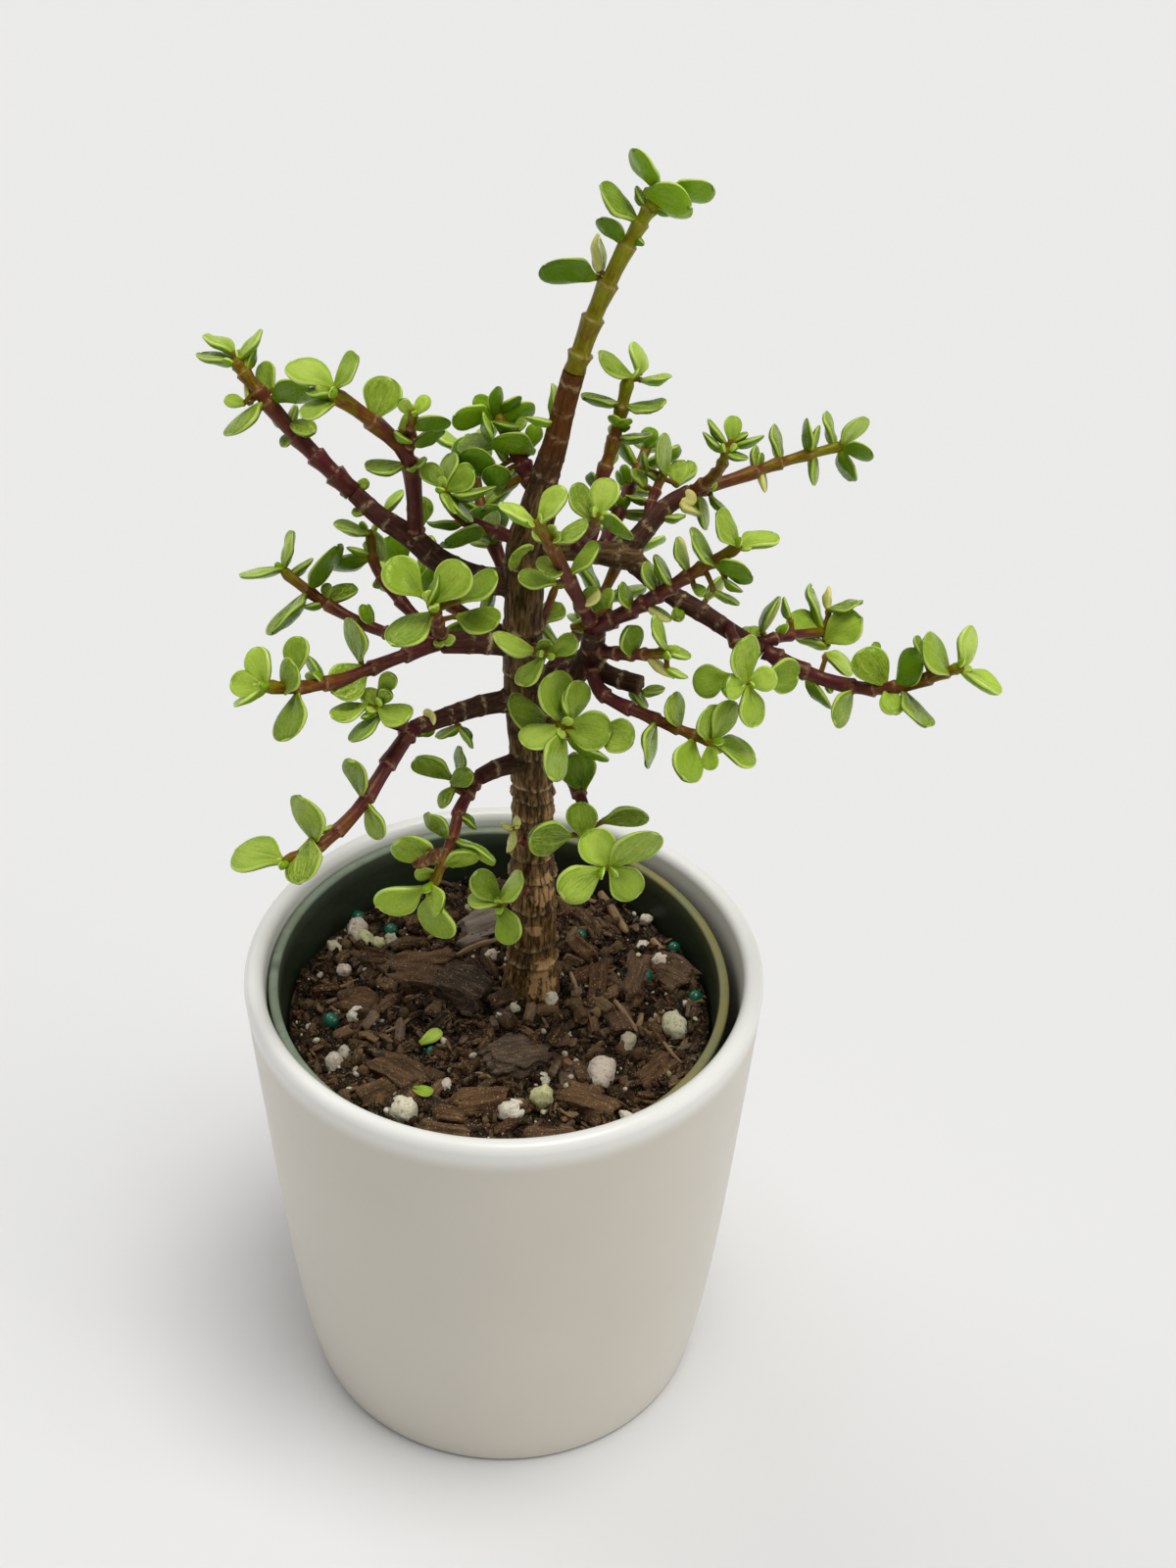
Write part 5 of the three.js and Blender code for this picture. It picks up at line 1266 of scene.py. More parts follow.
def build_shoot(shoot):
    """A stem with its leaves, leaf stalks and buds as one piece."""
    rng = np.random.default_rng(SHOOT_SEED + shoot["index"])
    heap = Heap()
    name, path, length = shoot["name"], shoot["path"], shoot["path"].length
    stations = stem_profile(shoot, rng)
    points, faces, place, rings = tube(path, stations, STEM_SIDES, shoot["index"], STEM_WOBBLE)
    share = np.clip(place[:, 1] / length, 0, 1)
    oldest, youngest = STEM_AGES.get(name, STEM_AGE)
    age = youngest + (oldest - youngest) * (1 - share**1.8)
    place = columns(place[:, 0], place[:, 1], rng.random())
    heap.add(points, faces, STEM_INDEX, place=place, age=age, ring=rings)
    own = [leaf for leaf in leaves if leaf["shoot"] == shoot["index"]]
    for number, share in SMALLER.get(name, []):
        own[number]["length"] *= share
        own[number]["width"] *= share
    last_pair = max((leaf["pair"] for leaf in own), default=0)
    pale = PALE_SHOOTS.get(name, 0.0)
    fresh = rng.random()

    marked = name in MARKS
    for leaf in own:
        notes = leaf.get("notes", [])
        if marked:
            youth = 0.85 if PALE in notes else 0.12 + 0.25 * smooth_step(0.6, 1.0, leaf["share"])
            youth += 0.22 * (rng.random() - 0.5)
        else:
            youth = YOUTH_FROM_TIP[min(last_pair - leaf["pair"], len(YOUTH_FROM_TIP) - 1)]
            youth += 0.25 * (rng.random() - 0.4)
            youth += 0.2 * (fresh - 0.5)
        youth = float(np.clip(youth, 0, 1))
        mottle = float(np.clip((1 - youth) * (0.25 + 0.9 * rng.random()), 0, 1))
        cream = pale * (0.6 + 0.4 * rng.random())
        if YELLOW in notes:
            cream = 1.0
        elif CREAM in notes:
            cream = -0.75
        add_blade(heap, rng, leaf, youth, mottle, cream)
        if leaf.get("twig"):
            start, end, tangent = leaf["twig"]
            bow = (start + end) / 2 + 0.12 * np.linalg.norm(end - start) * tangent
            arch = Route([start, bow, end])
            stations = [(arch.length * t, TWIG_RADIUS * r, ring) for t, r, ring in TWIG_SHAPE]
            points, faces, place, rings = tube(arch, stations, TWIG_SIDES)
            heap.add(points, faces, STEM_INDEX, place=place, age=TWIG_AGE, ring=rings)

    # tiny buds: a pair at the tip, and a few in the leaf axils
    def bud(distance, bearing, degrees, size, youth):
        point, tangent, normal, side = path.at(distance)
        out, opening = outward(normal, side, bearing), math.radians(degrees)
        axis = unit(tangent * math.cos(opening) + out * math.sin(opening))
        face = square_to(tangent - out * 0.2, axis)
        root = point + out * 0.45 * shoot["stem"][1]
        across = np.cross(face, axis)
        leaf = dict(root=root, axis=axis, face=face, across=across, length=size, width=size * 0.72)
        add_blade(heap, rng, leaf, youth, 0.1, pale * 0.5, 0.75)

    pairs = leaf_pairs(shoot)
    tiny = 0.24 * shoot["leaf"] * (0.8 + 0.5 * rng.random())
    for half in (0, 180):
        bud(length + 0.2, pairs[-1][1] + 90 + half, 22 + 14 * rng.random(), tiny, 0.9)
    for distance, bearing in pairs[:-1]:
        if rng.random() < (0.15 if marked else 0.45) and shoot["leaf"] > 8:
            side_bearing = bearing + (90 if rng.random() < 0.5 else -90) + 30 * (rng.random() - 0.5)
            size = 3.0 + 2.5 * rng.random()
            for half in (-28, 28):
                bud(distance + 0.6, side_bearing + half, 52, size * (0.8 + 0.3 * rng.random()), 0.7)
    dress(heap.mesh("spray_" + name, [LEAF, STEM]), "leaf", "shoot_" + name)


for shoot in shoots:
    build_shoot(shoot)

# ---------------------------------------------------------------- trunk and limbs
WOOD_SIDES, WOOD_VOXEL = 24, 0.42
WOOD_BLOCK = 2000  # points compared with the limbs in one go
RING_DEPTH = 1.4
TRUNK_RINGS = [
    (126.5, 0.5), (132.3, 0.55), (144, 0.5), (154, 0.6), (160.5, 0.35), (173, 0.3), (178, 0.45), (182, 0.3),
    (191, 0.15), (203, 0.2), (214, 0.15), (226, 0.25), (243, 0.3),
]  # height, and share of the depth
PLAIN_LIMBS = ("cut_stub", "right_high", "right_middle")  # old and woody all along
TAN_SPOTS = [
    ((10, 1, 121), 4.0), ((10.5, 1.5, 126), 3.2), ((9.5, 2, 149.5), 3.6), ((10, 3, 154), 2.6),
    ((8, 1, 139), 2.2),
]  # place and reach
LIMB_SEED = 70


def limb_radius(route, radii, distance):
    return np.interp(distance, route.lengths[::SPAN_STEPS], radii)


def wood_skin():
    """One smooth skin over the trunk and its limbs, as a mesh."""
    heap = Heap()
    for route, radii in limbs.values():
        distances = np.linspace(0, route.length, max(8, int(route.length)))
        stations = [(d, limb_radius(route, radii, d), 0.0) for d in distances]
        points, faces, *_ = tube(route, stations, WOOD_SIDES)
        heap.add(points, faces)
    rough = heap.mesh("wood_rough", [BARK])
    remesh = rough.modifiers.new("one_skin", "REMESH")
    remesh.mode = "VOXEL"
    remesh.voxel_size = WOOD_VOXEL * MM
    soften = rough.modifiers.new("soften", "SMOOTH")
    soften.factor = 0.5
    soften.iterations = 7
    skin = evaluated_mesh(rough)
    bpy.data.objects.remove(rough)
    return skin


def read_vectors(skin, key):
    values = np.empty(len(skin.vertices) * 3)
    skin.vertices.foreach_get(key, values)
    return values.reshape(-1, 3)


def place_on_limbs(points):
    """For each point its limb's number, the distance along that, and the place across it."""
    centres, owners, distances, sizes, frames = [], [], [], [], []
    for owner, (route, radii) in enumerate(limbs.values()):
        for d in np.arange(0, route.length, 0.5):
            point, _, normal, side = route.at(d)
            centres.append(point)
            frames.append([normal, side])
            owners.append(owner)
            distances.append(d)
            sizes.append(limb_radius(route, radii, d))
    centres, owners, distances, sizes, frames = map(np.array, (centres, owners, distances, sizes, frames))
    nearest = np.empty(len(points), int)
    for start in range(0, len(points), WOOD_BLOCK):
        block = points[start : start + WOOD_BLOCK]
        apart = np.linalg.norm(block[:, None] - centres[None], axis=2) - sizes[None]
        nearest[start : start + WOOD_BLOCK] = apart.argmin(1)
    offset = points - centres[nearest]
    x, y = (np.einsum("ij,ij->i", offset, frames[nearest][:, k]) for k in (0, 1))
    return owners[nearest], distances[nearest], x, y


def build_wood():
    skin = wood_skin()
    points, normals = read_vectors(skin, "co") / MM, read_vectors(skin, "normal")
    owner, distance, x, y = place_on_limbs(points)
    names = list(limbs)
    is_trunk = (owner == 0).astype(float)
    along = np.column_stack([x, y, distance * 0.2 + owner * 40.0])

    # bark with cracks on the trunk, and nearly smooth on the limbs; push is how far the skin moves out.
    # The cracks' dark colour is partly the bark's own and partly painted shade in the fissures
    ridges = 1 - np.abs(2 * layered_noise(along * [0.95, 0.95, 0.55], 3, 4) - 1)
    crack_and_shade = smooth_step(0.86, 0.98, ridges)
    shallow = layered_noise(along * [0.45, 0.45, 0.8], 2, 9) - 0.5
    push = is_trunk * (-0.26 * crack_and_shade + 0.6 * shallow) + (1 - is_trunk) * (-0.07 * crack_and_shade + 0.3 * shallow)
    crack_and_shade = crack_and_shade * (0.4 + 0.6 * is_trunk)
    # old leaf scars: raised rings round the trunk, and fine ones along the limbs
    ring = np.zeros(len(points))
    height = points[:, 2] + 0.6 * (layered_noise(points * [0.5, 0.5, 0.3], 2, 21) - 0.5) * 2
    for level, size in TRUNK_RINGS:
        bump = np.exp(-(((height - level) / 0.55) ** 2))
        notch = np.exp(-(((height - level + 1.2) / 0.6) ** 2))
        push += is_trunk * size * RING_DEPTH * (bump - 0.7 * notch)
        ring = np.maximum(ring, is_trunk * bump * 0.8)
        # the notch under each ring is painted dark: a painted shadow beneath the raised ring
        crack_and_shade = np.maximum(crack_and_shade, is_trunk * notch * 0.6)
    for number in range(1, len(names)):
        rng = np.random.default_rng(LIMB_SEED + number)
        place = 2.0 + 3 * rng.random()
        while place < limbs[names[number]][0].length - 1:
            here = (owner == number) * np.exp(-(((distance - place + 0.25 * np.sin(y)) / 0.5) ** 2))
            push += 0.2 * here
            ring = np.maximum(ring, here * (0.35 + 0.65 * rng.random()))
            place += 3.5 + 4 * rng.random()
    # young, smooth ends
    share = distance / np.array([route.length for route, _ in limbs.values()])[owner]
    amber = (owner == names.index("leader")).astype(float)
    young = np.where(amber > 0, smooth_step(0.15, 0.6, share), 0.8 * smooth_step(0.2, 0.9, share))
    young *= 1 - is_trunk
    for name in PLAIN_LIMBS:
        young[owner == names.index(name)] = 0
    push *= 1 - 0.6 * young
    crack_and_shade *= 1 - 0.8 * young
    # bare tan spots, and the face of the cut
    tan = np.zeros(len(points))
    for spot, reach in TAN_SPOTS:
        near = np.exp(-((np.linalg.norm(points - np.array(spot), axis=1) / reach) ** 2))
        tan = np.maximum(tan, near)
        push += 0.35 * near
    cut = (owner == names.index("cut_stub")) * smooth_step(0.92, 0.99, share)
    push += cut * 0.8 * (layered_noise(points * 0.9, 2, 31) - 0.5)

    skin.vertices.foreach_set("co", ((points + normals * push[:, None]) * MM).ravel())
    rough_bark = np.maximum(is_trunk, 0.8 * (owner == names.index("right_high")))
    facts = dict(crack_and_shade=crack_and_shade, ring=ring, young=young, amber=amber)
    set_attributes(skin, dict(facts, along=along, wood=np.column_stack([rough_bark, tan, cut])))
    skin.polygons.foreach_set("use_smooth", np.ones(len(skin.polygons), bool))
    skin.materials.clear()
    skin.materials.append(BARK)
    skin.update()
    dress(show(bpy.data.objects.new("woody_trunk", skin)), "bark", "trunk")


build_wood()

# ---------------------------------------------------------------- pots
POT_HEIGHT, POT_RIM, POT_LIP = 130.0, 65.0, 2.5
POT_TAPER, POT_HEEL_DEPTH, POT_HEEL_REACH, POT_EDGE, POT_FLOOR = 0.07, 3.5, 22.0, 2.0, 6.0
POT_INNER_FOOT, POT_INNER_CORNER = 50.5, 6.0
LINER_RIM, LINER_RIM_Z, LINER_BAND, LINER_RIM_WIDTH = 58.1, 124.0, 5.0, 2.6
LINER_BASE, LINER_WALL, LINER_FLOOR = 44.8, 1.3, 2.0
LINER_SHIFT, LINER_BACK = -1.2, 0.9
LINER_LEAN = (-0.02, 0.05)  # slope of the rim to the right and to the back
GAP = 0.35  # between parts
POT_SIDES, POT_STEP, LINER_SIDES, LINER_STEP = 160, 5.0, 128, 4.0  # faces round, and mm along the profile
DRAINS, DRAIN_PLACE, DRAIN_RADIUS, DRAIN_SIDES, DRAIN_OVER = 6, 27, 4.5, 24, 3
SEAM_DEGREES, SEAM_HALF_WIDTH = 178, 1.5


def arc(cx, cz, radius, start, end, steps):
    """Points on an arc from one angle to another, in degrees."""
    angles = np.radians(np.linspace(start, end, steps + 1))
    return [(cx + radius * math.cos(a), cz + radius * math.sin(a)) for a in angles]


def refine(profile, step):
    """The same profile with points no further apart than step."""
    out = [profile[0]]
    for a, b in zip(profile[:-1], profile[1:]):
        count = max(1, math.ceil(math.dist(a, b) / step))
        for i in range(1, count + 1):
            out.append((a[0] + (b[0] - a[0]) * i / count, a[1] + (b[1] - a[1]) * i / count))
    return out


def turned(profile, segments):
    """Points and faces of a closed turning. The profile starts and ends on the axis."""
    rings = profile[1:-1]
    angle = circle(segments)
    points = [[(0, 0, profile[0][1])]]
    points += [columns(r * np.cos(angle), r * np.sin(angle), z) for r, z in rings]
    points.append([(0, 0, profile[-1][1])])
    return np.vstack(points), closed_faces(len(rings), segments)


def cover_pot():
    def wall(z):
        """The outer radius at a height."""
        heel = POT_HEEL_DEPTH * math.exp(-z / POT_HEEL_REACH)
        return POT_RIM - POT_TAPER * (POT_HEIGHT - POT_LIP - z) - heel

    lip = POT_RIM - POT_LIP
    outer = arc(wall(POT_EDGE) - POT_EDGE, POT_EDGE, POT_EDGE, -90, -15, 6)
    outer += [(wall(z), z) for z in np.arange(POT_EDGE + 1, POT_HEIGHT - POT_LIP - 3, 4.0)]
    rim = arc(lip, POT_HEIGHT - POT_LIP, POT_LIP, 0, 180, 20)
    corner = POT_INNER_FOOT - POT_INNER_CORNER
    inner = arc(corner, POT_FLOOR + POT_INNER_CORNER, POT_INNER_CORNER, 0, -90, 8)
    profile = [(0, 0), (30, 0), *outer, *rim, *inner, (0, POT_FLOOR)]
    points, faces = turned(refine(profile, POT_STEP), POT_SIDES)
    piece = add_mesh("cover_pot", points, faces, [glaze_material()])
    dress(piece, "glaze", "ceramic_pot")


def liner_inner_radius(z):
    floor = POT_FLOOR + GAP + LINER_FLOOR
    share = (z - floor) / (LINER_RIM_Z - floor)
    return (LINER_BASE - LINER_WALL) + (LINER_RIM - LINER_RIM_WIDTH - LINER_BASE + LINER_WALL) * share


def liner_pot():
    floor = POT_FLOOR + GAP
    band = LINER_RIM_Z - LINER_BAND
    inner_rim = LINER_RIM - LINER_RIM_WIDTH
    profile = [
        (0, floor), (LINER_BASE - 1.6, floor), (LINER_BASE - 0.5, floor + 0.5), (LINER_BASE, floor + 1.6),
        (liner_inner_radius(band) + LINER_WALL, band - 0.2), (LINER_RIM - 0.7, band),
        (LINER_RIM - 0.25, band + 0.5), (LINER_RIM, LINER_RIM_Z - 1.0), (LINER_RIM - 0.25, LINER_RIM_Z - 0.3),
        (LINER_RIM - 0.8, LINER_RIM_Z), (inner_rim + 0.8, LINER_RIM_Z),
        (inner_rim + 0.25, LINER_RIM_Z - 0.25), (inner_rim, LINER_RIM_Z - 0.9),
        (LINER_BASE - LINER_WALL, floor + LINER_FLOOR + 1.2),
        (LINER_BASE - LINER_WALL - 1.2, floor + LINER_FLOOR), (0, floor + LINER_FLOOR),
    ]
    points, faces = turned(refine(profile, LINER_STEP), LINER_SIDES)
    rim = smooth_step(LINER_RIM_Z - 1.1, LINER_RIM_Z - 0.4, points[:, 2])
    angle = np.degrees(np.arctan2(points[:, 1], points[:, 0]))
    share = (points[:, 2] - floor) / (LINER_RIM_Z - floor)
    points[:, 2] += share * (points[:, :2] @ LINER_LEAN)
    points += [LINER_SHIFT, LINER_BACK, 0]
    seam = (np.abs(angle - SEAM_DEGREES) < SEAM_HALF_WIDTH).astype(float) * rim
    piece = add_mesh("liner_pot", points, faces, [liner_material()], dict(rim=rim, seam=seam))
    # the drain holes are drilled through the floor
    cutters = Heap()
    edge = circle(DRAIN_SIDES)
    caps = [tuple(range(DRAIN_SIDES))[::-1], tuple(range(DRAIN_SIDES, 2 * DRAIN_SIDES))]
    for turn in circle(DRAINS):
        x = LINER_SHIFT + DRAIN_PLACE * math.cos(turn) + DRAIN_RADIUS * np.cos(edge)
        y = LINER_BACK + DRAIN_PLACE * math.sin(turn) + DRAIN_RADIUS * np.sin(edge)
        ends = [columns(x, y, z) for z in (floor - DRAIN_OVER, floor + LINER_FLOOR + DRAIN_OVER)]
        cutters.add(np.vstack(ends), ring_faces(2, DRAIN_SIDES) + caps)
    cutter = cutters.mesh("drain_cutter", [])
    cut = piece.modifiers.new("drains", "BOOLEAN")
    cut.operation = "DIFFERENCE"
    cut.solver = "EXACT"
    cut.object = cutter
    drilled = evaluated_mesh(piece)
    piece.modifiers.clear()
    piece.data = drilled
    bpy.data.objects.remove(cutter)
    dress(piece, "liner", "nursery_pot")


cover_pot()
liner_pot()

# ---------------------------------------------------------------- potting mix
SOIL_EDGE, SOIL_MOUND, SOIL_REACH = 112.0, 4.0, 24.0
TRUNK_FOOT, TRUNK_ROOM = (7.0, 7.0), 7
SOIL_SIDES, SOIL_RINGS = 240, 100
SOIL_WALL = (0.97, 0.66, 0.33, 0.0)  # the heights of the rings on its side, as shares


def soil_height(x, y):
    """The soil's top as in the CAD source."""
    x, y = np.asarray(x, float), np.asarray(y, float)
    mound = SOIL_MOUND * np.exp(-((x - TRUNK_FOOT[0]) ** 2 + (y - TRUNK_FOOT[1]) ** 2) / SOIL_REACH**2)
    lumps = 0.8 * np.sin(0.31 * x + 1) * np.cos(0.27 * y) + 0.5 * np.sin(0.83 * x - 0.5 * y)
    return SOIL_EDGE + mound + lumps + 0.5 * np.cos(0.9 * y + 0.45 * x)


def ground(x, y):
    """The soil's top with its crumbly relief, for arrays of places or a single one."""
    x, y = np.atleast_1d(x), np.atleast_1d(y)
    flat = columns(x, y, 0.0)
    relief = 2.2 * (layered_noise(flat * 0.28, 2, 41) - 0.5) + 1.5 * (layered_noise(flat * 0.8, 3, 43) - 0.5)
    return soil_height(x, y) + relief


def soil_bed():
    top_radius = liner_inner_radius(SOIL_EDGE) - 2 * GAP
    base_z = POT_FLOOR + 2 * GAP + LINER_FLOOR
    base_radius = liner_inner_radius(base_z + 1) - 2 * GAP
    angle = circle(SOIL_SIDES)

    def around(r):
        return LINER_SHIFT + r * np.cos(angle), LINER_BACK + r * np.sin(angle)

    points = [columns(LINER_SHIFT, LINER_BACK, ground(LINER_SHIFT, LINER_BACK))]
    for row in range(1, SOIL_RINGS + 1):
        x, y = around(top_radius * row / SOIL_RINGS)
        z = ground(x, y)
        points.append(columns(x, y, np.minimum(z, SOIL_EDGE) if row == SOIL_RINGS else z))
    for share in SOIL_WALL:
        x, y = around(base_radius + (top_radius - base_radius) * share)
        points.append(columns(x, y, base_z + (SOIL_EDGE - 2 - base_z) * share))
    points = np.vstack([*points, [LINER_SHIFT, LINER_BACK, base_z]])
    # the rings run from the top down, so the faces are turned round
    faces = [(face[0], *face[:0:-1]) for face in closed_faces(SOIL_RINGS + len(SOIL_WALL), SOIL_SIDES)]
    tint = np.column_stack([
        smooth_step(0.6, 0.75, layered_noise(points * 0.5, 3, 61)) * 0.5,
        smooth_step(0.5, 0.7, layered_noise(points * 0.35, 3, 67)) * 0.6,
        layered_noise(points * 0.2, 2, 71),
    ])
    piece = add_mesh("soil_bed", points, faces, [SOIL], dict(tint=tint))
    dress(piece, "soil", "soil")


def icosphere(levels):
    """A unit sphere of triangles."""
    t = (1 + 5**0.5) / 2
    points = [
        (-1, t, 0), (1, t, 0), (-1, -t, 0), (1, -t, 0), (0, -1, t), (0, 1, t), (0, -1, -t), (0, 1, -t),
        (t, 0, -1), (t, 0, 1), (-t, 0, -1), (-t, 0, 1),
    ]
    faces = [
        (0, 11, 5), (0, 5, 1), (0, 1, 7), (0, 7, 10), (0, 10, 11), (1, 5, 9), (5, 11, 4), (11, 10, 2),
        (10, 7, 6), (7, 1, 8), (3, 9, 4), (3, 4, 2), (3, 2, 6), (3, 6, 8), (3, 8, 9), (4, 9, 5), (2, 4, 11),
        (6, 2, 10), (8, 6, 7), (9, 8, 1),
    ]
    points = [unit(np.array(p, float)) for p in points]
    for _ in range(levels):
        middle, finer = {}, []

        def halfway(a, b):
            key = (min(a, b), max(a, b))
            if key not in middle:
                middle[key] = len(points)
                points.append(unit(points[a] + points[b]))
            return middle[key]

        for a, b, c in faces:
            ab, bc, ca = halfway(a, b), halfway(b, c), halfway(c, a)
            finer += [(a, ab, ca), (b, bc, ab), (c, ca, bc), (ab, bc, ca)]
        faces = finer
    return np.array(points), faces


BALLS = [icosphere(level) for level in range(4)]
SEEDS = 9000


def turning(rng):
    """A random rotation."""
    w, x, y, z = unit(rng.normal(size=4))
    return np.array([
        [1 - 2 * (y * y + z * z), 2 * (x * y - z * w), 2 * (x * z + y * w)],
        [2 * (x * y + z * w), 1 - 2 * (x * x + z * z), 2 * (y * z - x * w)],
        [2 * (x * z - y * w), 2 * (y * z + x * w), 1 - 2 * (x * x + y * y)],
    ])


def crumb(rng, radius, level, rough, squash):
    """A lumpy grain, squashed and turned at random."""
    sphere, faces = BALLS[level]
    seed = int(rng.integers(1, SEEDS))
    bumps = layered_noise(sphere * (1.2 + 0.6 * level) + seed, 2 + level, seed)
    r = 1 + rough * (bumps - 0.5) * 2
    return (sphere * r[:, None] * radius * np.array(squash)) @ turning(rng).T, faces


def random_tint(rng, *channels, most=1):
    """A tint from the middle and the spread of each channel."""
    return np.clip([rng.normal(*channel) for channel in channels], 0, most)


def scatter(rng, margin=1.5):
    """A random place on the soil, clear of the trunk."""
    edge = liner_inner_radius(SOIL_EDGE) - margin
    while True:
        x, y = rng.uniform(-edge, edge, 2)
        place = (x + LINER_SHIFT, y + LINER_BACK)
        if x * x + y * y < edge * edge and math.dist(place, TRUNK_FOOT) > TRUNK_ROOM:
            return place


CRUMBS, BIG_CRUMBS = 2300, 620


def crumbs():
    rng = np.random.default_rng(11)
    heap = Heap()
    for number in range(CRUMBS):
        big = number < BIG_CRUMBS
        radius = rng.uniform(1.0, 2.3) if big else rng.uniform(0.35, 0.95)
        x, y = scatter(rng, radius + 0.4)
        squash = (1, rng.uniform(0.5, 1), rng.uniform(0.4, 0.9))
        points, faces = crumb(rng, radius, 1 if big else 0, 0.75, squash)
        z = ground(x, y)[0] + radius * rng.uniform(-0.1, 0.35)
        light, warm = random_tint(rng, (0.05, 0.3), (0.25, 0.35))
        heap.add(points + [x, y, z], faces, tint=(light, warm, rng.random()))
    dress(heap.mesh("soil_crumbs", [SOIL]), "soil")


# centre, size, turn and tip in degrees, tint (light, warm, grey)
CHIPS = [
    ((-22, 13), (19, 10, 4.5), -10, 6, (0.25, 0.7, 0.1)),
    ((-20, 17), (14, 5, 5.5), -8, 12, (0.45, 0.8, 0.0)),
    ((-10, 5), (13, 12, 5.5), -30, -8, (0.05, 0.15, 0.15)),
    ((-6, 31), (11, 8, 4), 20, 10, (0.2, 0.1, 1.0)),
    ((-8, 26), (8, 4, 3), 25, -6, (0.2, 0.0, 0.9)),
    ((43.5, 14), (12, 9, 5), -48, 14, (0.25, 0.45, 0.1)),
    ((34, 10), (17, 6, 4.5), 78, -6, (0.2, 0.7, 0.1)),
    ((24, 6), (15, 4.5, 4), 84, 8, (0.1, 0.75, 0.0)),
    ((3, -18), (15, 12, 5.5), 20, -12, (0.15, 0.25, 0.25)),
    ((-26, -23), (15, 7, 4), -42, 8, (0.25, 0.45, 0.0)),
    ((20, -33), (15, 7, 4.5), -28, 7, (0.3, 0.75, 0.0)),
    ((-6, -33), (13, 7, 4), 5, 7, (0.2, 0.8, 0.0)),
    ((-31, -29), (11, 6, 4), 35, -8, (0.3, 0.5, 0.0)),
    ((-37, 2), (9, 8, 3.5), -20, 9, (0.2, 0.7, 0.0)),
    ((24, 33), (12, 8, 4), -55, -8, (0.15, 0.4, 0.0)),
    ((-34, 20), (10, 6, 4), -20, 9, (0.1, 0.3, 0.0)),
    ((38, -22), (12, 7, 4), 50, 6, (0.15, 0.6, 0.0)),
    ((12, -45), (13, 6, 4), 10, -5, (0.2, 0.5, 0.0)),
    ((-15, -44), (12, 6, 4), -15, 6, (0.25, 0.4, 0.0)),
    ((20, 22), (11, 5, 4), -60, 9, (0.1, 0.7, 0.0)),
]
# scattered ones: how many, length, width as a share of it, thickness, room, tip in degrees, height over the
# ground (or 0 for a fifth of the thickness), and the middle and spread of their tint
LOOSE_CHIPS = [
    (170, (3.5, 9), (0.3, 0.6), (1.2, 2.8), 1, 22, 0, ((0.15, 0.25), (0.4, 0.35), (-0.2, 0.35))),
    (900, (1.4, 4.4), (0.18, 0.5), (0.4, 1.2), 0.6, 40, (0.2, 1.4), ((0.0, 0.45), (0.3, 0.4), (-0.3, 0.35))),
]
CHIP, SHARD = 9, 4.0  # shorter chips than these are drawn with fewer faces


def chip(rng, size, turn, tip):
    """A split piece of bark: a rough block with ragged ends and fibres along its length."""
    long = max(size)
    sphere, faces = BALLS[3 if long > CHIP else 2 if long > SHARD else 1]
    box = sphere / np.abs(sphere).max(1)[:, None]
    points = (box * 0.86 + sphere * 0.14) * (np.array(size) / 2)
    seed = int(rng.integers(1, SEEDS))
    ends = columns(points[:, 1] * 0.7, points[:, 2] * 0.7, seed)
    points[:, 0] += (noise(ends, seed) - 0.5) * size[0] * 0.3
    points[:, 1] += (noise(points * [0.2, 0.3, 0.6] + seed, seed + 1) - 0.5) * size[1] * 0.35
    layers = noise(points * [0.12, 0.9, 0.5] + seed, seed + 2)
    points[:, 2] += (layers - 0.5) * size[2] * 0.55
    points += (layered_noise(points * 0.9 + seed, 2, seed + 3)[:, None] - 0.5) * 0.5
    grain = points * [0.16, 1.1, 0.9] + seed
    a, b, c = np.radians([turn, tip, -0.7 * tip])
    spin = np.array([[math.cos(a), -math.sin(a), 0], [math.sin(a), math.cos(a), 0], [0, 0, 1]])
    roll = np.array([[1, 0, 0], [0, math.cos(b), -math.sin(b)], [0, math.sin(b), math.cos(b)]])
    pitch = np.array([[math.cos(c), 0, math.sin(c)], [0, 1, 0], [-math.sin(c), 0, math.cos(c)]])
    return points @ (spin @ pitch @ roll).T, faces, grain


def bark_chips():
    rng = np.random.default_rng(23)
    heap = Heap()
    for (x, y), size, turn, tip, tint in CHIPS:
        points, faces, grain = chip(rng, size, turn, tip)
        z = soil_height(x, y) + 0.6 + size[2] * 0.15
        heap.add(points + [x, y, z], faces, tint=tint, grain=grain)
    for count, lengths, widths, thicknesses, room, tip, lift, channels in LOOSE_CHIPS:
        for _ in range(count):
            long = rng.uniform(*lengths)
            size = (long, long * rng.uniform(*widths), rng.uniform(*thicknesses))
            x, y = scatter(rng, long / 2 + room)
            points, faces, grain = chip(rng, size, rng.uniform(0, 360), rng.uniform(-tip, tip))
            tint = random_tint(rng, *channels)
            z = ground(x, y)[0] + (rng.uniform(*lift) if lift else size[2] * 0.2)
            heap.add(points + [x, y, z], faces, tint=tint, grain=grain)
    dress(heap.mesh("bark_chips", [chip_material()]), "soil")


